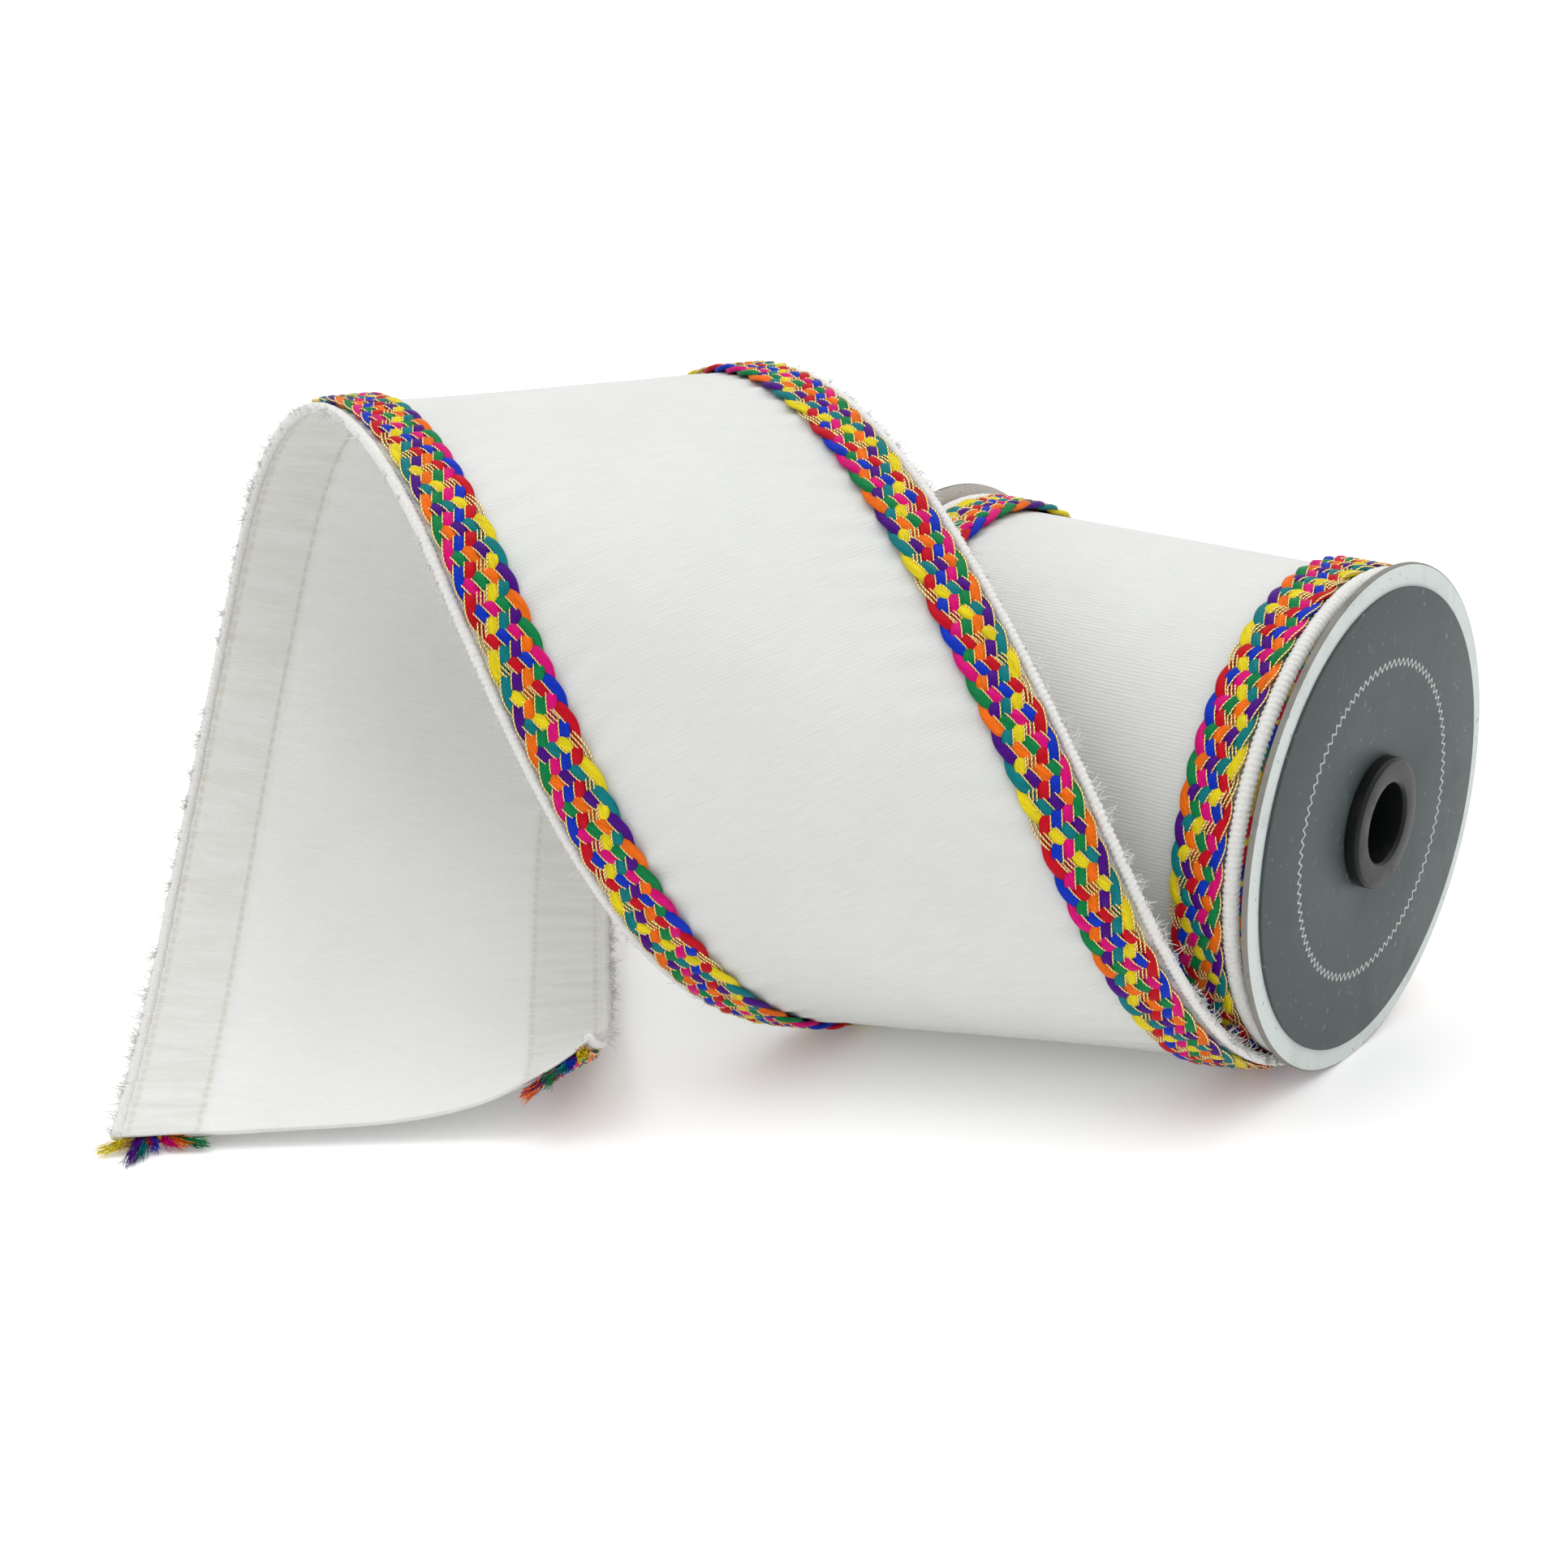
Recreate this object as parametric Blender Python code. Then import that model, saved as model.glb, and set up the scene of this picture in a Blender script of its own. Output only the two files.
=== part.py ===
"""Braided ribbon on a card spool, in metres, +Z up, standing on z = 0.

The spool lies with its axis along X and its labelled flange towards +X. The ribbon is white cloth with a
whipped, wired edge on each side and a flat plait sewn just inside each edge. Its outer turns are one wound
solid. Its free end leaves the underside of the roll towards -Y, climbs into an arch, comes down at -X and
lies on the surface with its cut end forward.

The free end is a flat strip that is only bent, never stretched. BEND_TABLE gives how it is bent along its
length, and ribbon_points turns a place on the flat strip into a place in space.
"""
import math

import bmesh
import bpy
import numpy as np
from mathutils import Matrix, Vector

MILLIMETRE = 0.001

# Sizes in millimetres
RIBBON_WIDTH = 100.0
CLOTH_THICKNESS = 1.0
EDGE_BEAD_THICKNESS = 2.0
EDGE_BEAD_WIDTH = 2.6
PLAIT_WIDTH = 11.5
PLAIT_THICKNESS = 1.6
SEWN_GAP = 0.3

FLANGE_RADIUS = 54.0
FLANGE_THICKNESS = 2.0
FLANGE_EDGE_ROUND = 0.4
FLANGE_HOLE_RADIUS = 11.3
BETWEEN_FLANGES = 104.4
TURNING_STEPS = 48
HUB_STEPS = 32

LABEL_RADIUS = 49.2
LABEL_THICKNESS = 0.5
BORE_RADIUS = 8.5
SLEEVE_RADIUS = 11.0
SLEEVE_LENGTH = 12.0
HUB_RIM_RADIUS = 14.0
HUB_RIM_HEIGHT = 2.8
HUB_RIM_ROUND = 0.4
CORE_OUTER_RADIUS = 19.0
CORE_WALL = 2.0
ROLL_RADIUS = 50.2

# The free end: length past the tangent point under the roll, and how far back under the roll it starts
FREE_LENGTH = 543.0
TUCKED_LENGTH = 8.0
ROW_STEP = 7.0
# The centre line is traced past both ends, because slanted bending lines reach beyond them
TRACE_STEP = 1.0
TRACE_MARGIN = 70.0

# How the free end is bent. along is the distance from the tangent point in mm, bend the turn in degrees for
# each 10 mm (upwards and back, as the ribbon was wound), slant the angle in degrees between the line that
# it bends about and the line square across it.
BEND_TABLE = (
    # along, bend, slant
    (0.0, 0.0, -25.0),
    (15.0, 0.5, -25.0),
    (40.0, 10.0, -24.0),
    (80.0, 9.2, -28.0),
    (120.0, 8.8, -33.0),
    (160.0, 7.6, -42.0),
    (200.0, 6.2, -22.0),
    (240.0, 6.0, -13.0),
    (280.0, 7.4, -13.0),
    (320.0, 9.3, -22.0),
    (360.0, 10.4, -11.0),
    (400.0, 9.8, 8.0),
    (440.0, 4.8, -26.0),
    (530.0, 0.4, -44.0),
    (545.0, 5.0, -47.0),
    (575.0, 11.0, -49.0),
)

# Each plait on the roll runs from in front of the tangent point, where the free cloth has risen out of its
# way, over the top, to just behind that point. Angles are measured at the axis from straight down,
# towards the front.
FAR_PLAIT_ON_ROLL_FROM = 18.0
NEAR_PLAIT_ON_ROLL_FROM = 24.0
PLAIT_ON_ROLL_TO = 350.0

# Cut ends of the plaits: a bound root and five loose locks, from the plait's inner edge outwards
ROOT_LENGTH = 2.0
FAR_LOCKS = (
    # length, lean outwards, droop
    (4.5, -4.5, 0.0),
    (5.0, -2.0, 0.3),
    (6.5, -0.3, 0.1),
    (9.0, 1.5, 0.4),
    (6.5, 5.0, 0.0),
)
NEAR_LOCKS = (
    (6.5, -6.5, 0.0),
    (5.5, -4.0, 0.3),
    (5.0, -2.0, 0.1),
    (5.0, 0.0, 0.3),
    (4.5, 2.0, 0.0),
)
LOCK_SHARE_OF_PITCH = 0.7
LOCK_TIP_SCALE = 0.45
LOWEST_LOCK_POINT = 0.25

# The spool stands on a flat as wide as two of its rim's facets
FLAT_SPOT_HALF_ANGLE = math.tau / TURNING_STEPS
AXIS_HEIGHT = FLANGE_RADIUS * math.cos(FLAT_SPOT_HALF_ANGLE)
CENTRE_X = -FLANGE_THICKNESS - 0.5 * BETWEEN_FLANGES
FAR_INNER_X = -FLANGE_THICKNESS - BETWEEN_FLANGES
FAR_OUTER_X = FAR_INNER_X - FLANGE_THICKNESS
FREE_CLOTH_RADIUS = ROLL_RADIUS + SEWN_GAP + 0.5 * CLOTH_THICKNESS
PLAIT_OUTER = 0.5 * RIBBON_WIDTH - EDGE_BEAD_WIDTH
PLAIT_INNER = PLAIT_OUTER - PLAIT_WIDTH
PLAIT_BASE_LIFT = 0.5 * CLOTH_THICKNESS + SEWN_GAP


def clear_scene():
    for obj in list(bpy.data.objects):
        bpy.data.objects.remove(obj, do_unlink=True)


def make_material(name, colour, roughness, metallic=0.0):
    material = bpy.data.materials.new(name)
    material.use_nodes = True
    shader = material.node_tree.nodes["Principled BSDF"]
    shader.inputs["Base Color"].default_value = (*colour, 1.0)
    shader.inputs["Roughness"].default_value = roughness
    shader.inputs["Metallic"].default_value = metallic
    return material


def make_object(name, points, faces, material, smooth_below=35.0):
    """An object from points in millimetres and faces that point outwards."""
    mesh = bpy.data.meshes.new(name)
    mesh.from_pydata((np.asarray(points) * MILLIMETRE).tolist(), [], faces)
    mesh.materials.append(material)
    mesh.shade_smooth()
    mesh.set_sharp_from_angle(angle=math.radians(smooth_below))
    obj = bpy.data.objects.new(name, mesh)
    bpy.context.scene.collection.objects.link(obj)
    return obj


def turned_piece(name, profile, material, steps=TURNING_STEPS, flat_spot=False):
    """A profile of (x, radius) corners spun right round the spool's axis, with a flat under it if asked."""
    shape = bmesh.new()
    corners = [shape.verts.new((x, 0.0, -radius)) for x, radius in profile]
    sides = [shape.edges.new((a, b)) for a, b in zip(corners, corners[1:] + corners[:1])]
    bmesh.ops.spin(
        shape,
        geom=corners + sides,
        cent=(0.0, 0.0, 0.0),
        axis=(1.0, 0.0, 0.0),
        angle=math.tau,
        steps=steps,
        use_merge=True,
    )
    bmesh.ops.remove_doubles(shape, verts=shape.verts, dist=0.001)
    bmesh.ops.recalc_face_normals(shape, faces=shape.faces)
    for vert in shape.verts:
        vert.co.z += AXIS_HEIGHT
        if flat_spot:
            vert.co.z = max(vert.co.z, 0.0)
    shape.transform(Matrix.Scale(MILLIMETRE, 4))
    mesh = bpy.data.meshes.new(name)
    shape.to_mesh(mesh)
    shape.free()
    mesh.materials.append(material)
    mesh.shade_smooth()
    mesh.set_sharp_from_angle(angle=math.radians(35.0))
    obj = bpy.data.objects.new(name, mesh)
    bpy.context.scene.collection.objects.link(obj)
    return obj


def trace_free_end():
    """The centre line of the free end and its frame, stepped along the bend table.

    At each step the frame turns about the bending line, which is the width direction plus tan(slant)
    times the travel direction.
    """
    table = np.array(BEND_TABLE)
    stations = np.arange(-TRACE_MARGIN, FREE_LENGTH + TRACE_MARGIN, TRACE_STEP)
    middles = 0.5 * (stations[1:] + stations[:-1])
    turns = np.radians(np.interp(middles, table[:, 0], table[:, 1]) / 10.0) * TRACE_STEP
    tangents = np.tan(np.radians(table[:, 2]))
    slants = np.interp(stations, table[:, 0], tangents)
    middle_slants = np.interp(middles, table[:, 0], tangents)
    turns[middles < 0.0] = 0.0

    travel = Vector((0.0, -1.0, 0.0))
    across = Vector((1.0, 0.0, 0.0))
    place = Vector((CENTRE_X, -stations[0], AXIS_HEIGHT - FREE_CLOTH_RADIUS))
    rows = [(*place, *travel, *across)]
    for turn, slant in zip(turns.tolist(), middle_slants.tolist()):
        bend_line = (across + slant * travel).normalized()
        turning = Matrix.Rotation(-turn, 3, bend_line)
        next_travel = turning @ travel
        place = place + 0.5 * TRACE_STEP * (travel + next_travel)
        travel = next_travel
        across = turning @ across
        rows.append((*place, *travel, *across))
    traced = np.array(rows)
    return stations, slants, traced[:, 0:3], traced[:, 3:6], traced[:, 6:9]


def ribbon_points(trace, along, across, lift):
    """Places on the bent strip for flat coordinates along and across, raised by lift on its outer face.

    A bending line that crosses the centre at station s meets the flat strip at along = s + across * tan(slant).
    """
    stations, slants, places, travels, widths = trace
    along, across, lift = np.broadcast_arrays(along, across, lift)
    found = np.empty(along.shape + (3,))
    for value in np.unique(across):
        mask = across == value
        station = np.interp(along[mask], stations + value * slants, stations)
        slant = np.interp(station, stations, slants)[:, None]
        place, travel, width = (
            np.stack([np.interp(station, stations, line[:, k]) for k in range(3)], axis=1)
            for line in (places, travels, widths)
        )
        outward = np.cross(width, travel)
        outward /= np.linalg.norm(outward, axis=1)[:, None]
        found[mask] = place + value * (width + slant * travel) + lift[mask][:, None] * outward
    return found


def roll_points(turn_degrees, across, lift):
    """Places round the roll: turn is measured from straight down towards the front, lift is from the cloth's outside."""
    turn, across, lift = np.broadcast_arrays(np.radians(turn_degrees), across, lift)
    radius = ROLL_RADIUS + lift
    return np.stack(
        [CENTRE_X + across, -radius * np.sin(turn), AXIS_HEIGHT - radius * np.cos(turn)], axis=-1
    )


def tube_faces(row_count, corner_count):
    """Faces of a closed band made of row_count rings with corner_count corners each."""
    faces = []
    for row in range(row_count - 1):
        for corner in range(corner_count):
            following = (corner + 1) % corner_count
            a = row * corner_count
            b = a + corner_count
            faces.append((a + corner, a + following, b + following, b + corner))
    last = (row_count - 1) * corner_count
    faces.append(tuple(range(corner_count))[::-1])
    faces.append(tuple(last + corner for corner in range(corner_count)))
    return faces


def facing_out(points, faces):
    """The faces, all turned round if the solid that they close would be inside out."""
    points = np.asarray(points)
    volume = 0.0
    for face in faces:
        corners = points[list(face)]
        for second, third in zip(corners[1:], corners[2:]):
            volume += np.dot(corners[0], np.cross(second, third))
    return faces if volume > 0.0 else [face[::-1] for face in faces]


def free_rows():
    count = int(round((FREE_LENGTH + TUCKED_LENGTH) / ROW_STEP)) + 1
    return np.linspace(-TUCKED_LENGTH, FREE_LENGTH, count)


def cloth_section():
    """Half section of the cloth: places across it and half its thickness there, with a bead at each edge."""
    edge = 0.5 * RIBBON_WIDTH
    half = 0.5 * CLOTH_THICKNESS
    one_side = (
        (0.5 * PLAIT_INNER, half),
        (PLAIT_INNER, half),
        (PLAIT_OUTER, half),
        (edge - 0.5 * EDGE_BEAD_WIDTH, 0.5 * EDGE_BEAD_THICKNESS),
        (edge, 0.4 * CLOTH_THICKNESS),
    )
    left = [(-across, thick) for across, thick in reversed(one_side)]
    return np.array(left + [(0.0, half)] + list(one_side))


def make_free_cloth(trace, material):
    """The free end's cloth: its section carried along the bent strip and closed at the cut."""
    section = cloth_section()
    rows = free_rows()
    outline = np.concatenate([section * (1.0, 1.0), section[::-1] * (1.0, -1.0)])
    points = ribbon_points(trace, rows[:, None], outline[None, :, 0], outline[None, :, 1])
    columns = len(section)
    corner_count = len(outline)
    faces = tube_faces(len(rows), corner_count)[:-2]
    for row, order in ((0, -1), (len(rows) - 1, 1)):
        base = row * corner_count
        for column in range(columns - 1):
            opposite = corner_count - 1 - column
            quad = (base + column, base + column + 1, base + opposite - 1, base + opposite)
            faces.append(quad[::order])
    flat = points.reshape(-1, 3)
    return make_object("ribbon_cloth", flat, facing_out(flat, faces), material)


def plait_outline(side):
    """Section of a flat plait: places across the ribbon and lift above the cloth's middle, side is -1 or 1."""
    middle = 0.5 * (PLAIT_INNER + PLAIT_OUTER)
    half = 0.5 * PLAIT_WIDTH
    base = PLAIT_BASE_LIFT
    top = base + PLAIT_THICKNESS
    shape = np.array(
        [
            (-half, base),
            (half, base),
            (half, base + 0.5 * PLAIT_THICKNESS),
            (0.6 * half, top),
            (-0.6 * half, top),
            (-half, base + 0.5 * PLAIT_THICKNESS),
        ]
    )
    return np.stack([side * (middle + shape[:, 0]), shape[:, 1]], axis=1)


def make_plait(name, place, rows, outline, material):
    """A plait's section carried along rows, where place gives a point for a row, a place across and a lift."""
    points = place(rows[:, None], outline[None, :, 0], outline[None, :, 1])
    flat = points.reshape(-1, 3)
    faces = tube_faces(len(rows), len(outline))
    return make_object(name, flat, facing_out(flat, faces), material)


def make_frayed_end(name, trace, side, locks, material):
    """The cut end of a plait: a bound root across its width, with four-sided locks that spread apart."""
    count = len(locks)
    pitch = PLAIT_WIDTH / count
    lock_width = LOCK_SHARE_OF_PITCH * pitch
    first = 0.5 * (PLAIT_INNER + PLAIT_OUTER) - 0.5 * PLAIT_WIDTH + 0.5 * (pitch - lock_width)
    edges = np.array([[first + k * pitch, first + k * pitch + lock_width] for k in range(count)]).ravel()
    lifts = (PLAIT_BASE_LIFT, PLAIT_BASE_LIFT + PLAIT_THICKNESS)
    back = FREE_LENGTH + SEWN_GAP
    front = back + ROOT_LENGTH

    def row_of(along):
        return [[ribbon_points(trace, along, side * edge, lift).reshape(3) for lift in lifts] for edge in edges]

    rows = (row_of(back), row_of(front))
    points = []
    index = {}
    for r, row in enumerate(rows):
        for column, pair in enumerate(row):
            for level, point in enumerate(pair):
                point[2] = max(point[2], LOWEST_LOCK_POINT)
                index[r, column, level] = len(points)
                points.append(point)
    last = len(edges) - 1
    faces = [
        (index[0, 0, 0], index[1, 0, 0], index[1, 0, 1], index[0, 0, 1]),
        (index[0, last, 1], index[1, last, 1], index[1, last, 0], index[0, last, 0]),
    ]
    for column in range(last):
        after = column + 1
        faces.append((index[0, column, 1], index[1, column, 1], index[1, after, 1], index[0, after, 1]))
        faces.append((index[0, after, 0], index[1, after, 0], index[1, column, 0], index[0, column, 0]))
        faces.append((index[0, column, 0], index[0, column, 1], index[0, after, 1], index[0, after, 0]))
        if column % 2:
            faces.append((index[1, after, 0], index[1, after, 1], index[1, column, 1], index[1, column, 0]))

    forward = points[index[1, 0, 0]] - points[index[0, 0, 0]]
    forward[2] = 0.0
    forward /= np.linalg.norm(forward)
    sideways = points[index[1, last, 0]] - points[index[1, 0, 0]]
    sideways[2] = 0.0
    sideways /= np.linalg.norm(sideways)
    for k, (length, lean, droop) in enumerate(locks):
        ring = [index[1, 2 * k, 0], index[1, 2 * k + 1, 0], index[1, 2 * k + 1, 1], index[1, 2 * k, 1]]
        root = np.array([points[i] for i in ring])
        middle = root.mean(axis=0)
        for share in (0.5, 1.0):
            scale = 1.0 + (LOCK_TIP_SCALE - 1.0) * share
            shift = forward * length * share + sideways * lean * share * share
            shift[2] = -droop * share
            moved = middle + shift + (root - middle) * scale
            moved[:, 2] += max(0.0, LOWEST_LOCK_POINT - moved[:, 2].min())
            following = list(range(len(points), len(points) + 4))
            points.extend(moved)
            for a, b in ((0, 1), (1, 2), (2, 3), (3, 0)):
                faces.append((ring[a], ring[b], following[b], following[a]))
            ring = following
        faces.append(tuple(ring))
    mesh_points = np.array(points)
    shape = make_object(name, mesh_points, faces, material)
    fixed = bmesh.new()
    fixed.from_mesh(shape.data)
    bmesh.ops.recalc_face_normals(fixed, faces=fixed.faces)
    fixed.to_mesh(shape.data)
    fixed.free()
    return shape


def make_roll(material):
    """The wound turns as one ring.

    Its ends step in and out a little from turn to turn, and its outer corners are cut back for the beads
    of the free end's edges.
    """
    edge = 0.5 * RIBBON_WIDTH
    bore = CORE_OUTER_RADIUS + SEWN_GAP
    steps = (0.0, 0.16, 0.36, 0.56, 0.76, 0.9, 0.97, 1.0)
    insets = (0.5, 0.0, 0.6, 0.1, 0.5, 0.0, 0.3, EDGE_BEAD_WIDTH + SEWN_GAP)
    near = [(CENTRE_X + edge - inset, bore + (ROLL_RADIUS - bore) * s) for s, inset in zip(steps, insets)]
    far = [(CENTRE_X - edge + inset, bore + (ROLL_RADIUS - bore) * s) for s, inset in zip(steps, insets)]
    return turned_piece("ribbon_roll", near + far[::-1], material)


def make_flange(name, outer_x, inner_x, material):
    """A card disc with a slightly rounded rim, a centre hole and a flat where it stands."""
    towards = math.copysign(FLANGE_EDGE_ROUND, inner_x - outer_x)
    profile = [
        (outer_x, FLANGE_HOLE_RADIUS),
        (outer_x, FLANGE_RADIUS - FLANGE_EDGE_ROUND),
        (outer_x + towards, FLANGE_RADIUS),
        (inner_x - towards, FLANGE_RADIUS),
        (inner_x, FLANGE_RADIUS - FLANGE_EDGE_ROUND),
        (inner_x, FLANGE_HOLE_RADIUS),
    ]
    return turned_piece(name, profile, material, flat_spot=True)


def make_hub(name, seat_x, outwards, material):
    """A plug whose rim stands on the flange and whose sleeve goes into the core; outwards is 1 or -1."""
    rim_x = seat_x + outwards * HUB_RIM_HEIGHT
    round_x = rim_x - outwards * HUB_RIM_ROUND
    sleeve_x = seat_x - outwards * SLEEVE_LENGTH
    profile = [
        (sleeve_x, BORE_RADIUS),
        (sleeve_x, SLEEVE_RADIUS),
        (seat_x, SLEEVE_RADIUS),
        (seat_x, HUB_RIM_RADIUS),
        (round_x, HUB_RIM_RADIUS),
        (rim_x, HUB_RIM_RADIUS - HUB_RIM_ROUND),
        (rim_x, BORE_RADIUS + HUB_RIM_ROUND),
        (round_x, BORE_RADIUS),
    ]
    return turned_piece(name, profile, material, steps=HUB_STEPS)


def ring_profile(x_from, x_to, inner, outer):
    return [(x_from, inner), (x_from, outer), (x_to, outer), (x_to, inner)]


def centre_on_floor(objects):
    """Moves every mesh so that the whole thing's box is centred on the origin in plan. Its lowest point is z = 0."""
    corners = np.concatenate([[tuple(v.co) for v in obj.data.vertices] for obj in objects])
    low = corners.min(axis=0)
    high = corners.max(axis=0)
    shift = Matrix.Translation((-0.5 * (low[0] + high[0]), -0.5 * (low[1] + high[1]), 0.0))
    for obj in objects:
        obj.data.transform(shift)


def build():
    clear_scene()
    cloth = make_material("white_cloth", (0.86, 0.86, 0.84), 0.75)
    plait = make_material("coloured_plait", (0.45, 0.10, 0.22), 0.5)
    card = make_material("pale_card", (0.66, 0.70, 0.68), 0.85)
    paper = make_material("dark_paper", (0.09, 0.11, 0.11), 0.6)
    plastic = make_material("black_plastic", (0.02, 0.02, 0.022), 0.45)
    brown_card = make_material("core_card", (0.40, 0.33, 0.25), 0.9)

    trace = trace_free_end()

    def on_free_end(along, across, lift):
        return ribbon_points(trace, along, across, lift)

    def on_roll(turn, across, lift):
        return roll_points(turn, across, lift - 0.5 * CLOTH_THICKNESS)

    far_turns = np.linspace(FAR_PLAIT_ON_ROLL_FROM, PLAIT_ON_ROLL_TO, TURNING_STEPS)
    near_turns = np.linspace(NEAR_PLAIT_ON_ROLL_FROM, PLAIT_ON_ROLL_TO, TURNING_STEPS)
    pieces = [
        make_free_cloth(trace, cloth),
        make_roll(cloth),
        make_plait("plait_free_far", on_free_end, free_rows(), plait_outline(-1), plait),
        make_plait("plait_free_near", on_free_end, free_rows(), plait_outline(1), plait),
        make_plait("plait_roll_far", on_roll, far_turns, plait_outline(-1), plait),
        make_plait("plait_roll_near", on_roll, near_turns, plait_outline(1), plait),
        make_frayed_end("frayed_end_far", trace, -1, FAR_LOCKS, plait),
        make_frayed_end("frayed_end_near", trace, 1, NEAR_LOCKS, plait),
        make_flange("flange_near", 0.0, -FLANGE_THICKNESS, card),
        make_flange("flange_far", FAR_OUTER_X, FAR_INNER_X, card),
        turned_piece(
            "label_disc",
            ring_profile(SEWN_GAP, SEWN_GAP + LABEL_THICKNESS, FLANGE_HOLE_RADIUS, LABEL_RADIUS),
            paper,
        ),
        make_hub("hub_near", 2.0 * SEWN_GAP + LABEL_THICKNESS, 1, plastic),
        make_hub("hub_far", FAR_OUTER_X - SEWN_GAP, -1, plastic),
        turned_piece(
            "core_tube",
            ring_profile(
                FAR_INNER_X + SEWN_GAP,
                -FLANGE_THICKNESS - SEWN_GAP,
                CORE_OUTER_RADIUS - CORE_WALL,
                CORE_OUTER_RADIUS,
            ),
            brown_card,
            steps=HUB_STEPS,
        ),
    ]
    centre_on_floor(pieces)


build()
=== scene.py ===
"""Looks of the braided ribbon on its card spool.

Lengths are in millimetres until a mesh is made. Places are worked out from the near flange's outer face, at
x = 0, and the spool's axis, at y = 0, and then moved to where the frame has them.

The free end is a flat strip that is bent but never stretched: BEND_TABLE says how, and on_free_end turns a
place on the flat strip into a place in space. along runs from the roll to the cut end, across from the far
edge to the near one, and lift outwards from the middle of the cloth, on the braids' side.
"""
import math
import bpy
import numpy as np
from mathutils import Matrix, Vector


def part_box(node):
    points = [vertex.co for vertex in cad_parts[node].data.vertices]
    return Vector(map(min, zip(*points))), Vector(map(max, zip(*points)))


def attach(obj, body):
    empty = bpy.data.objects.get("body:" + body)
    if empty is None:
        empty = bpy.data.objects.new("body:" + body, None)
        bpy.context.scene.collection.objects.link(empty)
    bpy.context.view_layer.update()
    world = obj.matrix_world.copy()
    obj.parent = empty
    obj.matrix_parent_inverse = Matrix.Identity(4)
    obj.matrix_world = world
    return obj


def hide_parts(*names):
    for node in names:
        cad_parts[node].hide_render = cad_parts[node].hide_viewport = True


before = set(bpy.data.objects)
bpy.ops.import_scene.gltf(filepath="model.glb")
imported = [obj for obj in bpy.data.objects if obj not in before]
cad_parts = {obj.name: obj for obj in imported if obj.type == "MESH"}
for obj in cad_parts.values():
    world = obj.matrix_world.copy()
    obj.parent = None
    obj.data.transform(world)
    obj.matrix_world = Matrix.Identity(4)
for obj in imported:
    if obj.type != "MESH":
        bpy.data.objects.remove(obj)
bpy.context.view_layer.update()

MILLIMETRE = 0.001
FLOOR_Z = -0.0002
FLANGE_LOW, FLANGE_HIGH = (np.array(corner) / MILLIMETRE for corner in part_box("flange_near"))
FAR_FLANGE_LOW, FAR_FLANGE_HIGH = (np.array(corner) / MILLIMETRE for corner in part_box("flange_far"))
ORIGIN = np.array([FLANGE_HIGH[0], 0.5 * (FLANGE_LOW[1] + FLANGE_HIGH[1]), 0.0])

# The ribbon
RIBBON_WIDTH = 100.0
HALF_WIDTH = 0.5 * RIBBON_WIDTH
CLOTH_THICKNESS = 0.7
FREE_LENGTH = 543.0
TUCKED_LENGTH = 8.0
TRACE_STEP = 0.5
TRACE_MARGIN = 70.0
ROLL_RADIUS = 50.2
TURN_PITCH = 2.6
FREE_CLOTH_RADIUS = ROLL_RADIUS + 0.8

# The cloth's small folds: gathers beside the braids, long waves, and ridges along the underside's seams
CLOTH_ROWS = 460
CLOTH_COLUMNS = 73
CLOTH_INSET = 0.5
GATHER_HEIGHT = 0.42
GATHER_LENGTH = 7.2
GATHER_REACH = 20.0
WAVE_HEIGHT = 0.20
SEAM_MIDDLE = 41.0
SEAM_REACH = 10.5
RIDGE_HEIGHT = 0.30
RIDGE_LENGTH = 4.3

# The edge with the thread wound over it, and the hairs that stand out from it
EDGE_INSET = 1.0
THREAD_PITCH = 1.25
THREAD_STEP = 0.26
THREAD_BULGE = 0.13
THREAD_UNEVENNESS = 0.12
THREAD_SIDES = 10
THREAD_DROP = 1.0
FREE_EDGE_RADIUS = 1.1
ROLL_EDGE_RADIUS = 1.55
ROLL_END_GAP = 9.0
HAIRS_IN_A_CLUMP = 7
CLUMP_SPREAD = 0.35
HAIR_LENGTHS = (0.3, 1.4)
HAIR_RADII = (0.13, 0.05)

# The braid: nine strands that cross from edge to edge and back, one of them a bundle of gold threads
BRAID_MIDDLE = 41.7
BRAID_SWING = 4.75
BRAID_HALF_WIDTH = 4.8
STRAND_COUNT = 9
LOBE_PITCH = 5.93
BRAID_PERIOD = STRAND_COUNT * LOBE_PITCH
STRAND_HALF_WIDTH = 1.14
STRAND_HALF_HEIGHT = 0.6
STRAND_WEAVE = 0.42
BRAID_LIFT = 1.5
STRAND_STEP = 0.9
CUT_INSET = 0.5
STRAND_SIDES = 8
SWING_ROUNDING = 0.975
GOLD_RADIUS = 0.2
GOLD_SIDES = 4
GOLD_ASIDE = -1.02
GOLD_RAISED = 0.42
GOLD_BUNDLE = (-0.75, 0.0, 0.75)
STRAND_DYES = (
    ("teal", (0.0, 0.20, 0.22)),
    ("yellow", (0.84, 0.68, 0.01)),
    ("gold", (0.62, 0.40, 0.08)),
    ("red", (0.58, 0.0, 0.012)),
    ("blue", (0.0, 0.03, 0.52)),
    ("magenta", (0.72, 0.0, 0.19)),
    ("green", (0.0, 0.22, 0.06)),
    ("orange", (0.91, 0.16, 0.003)),
    ("purple", (0.07, 0.0, 0.22)),
)
DYES = dict(STRAND_DYES)

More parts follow.
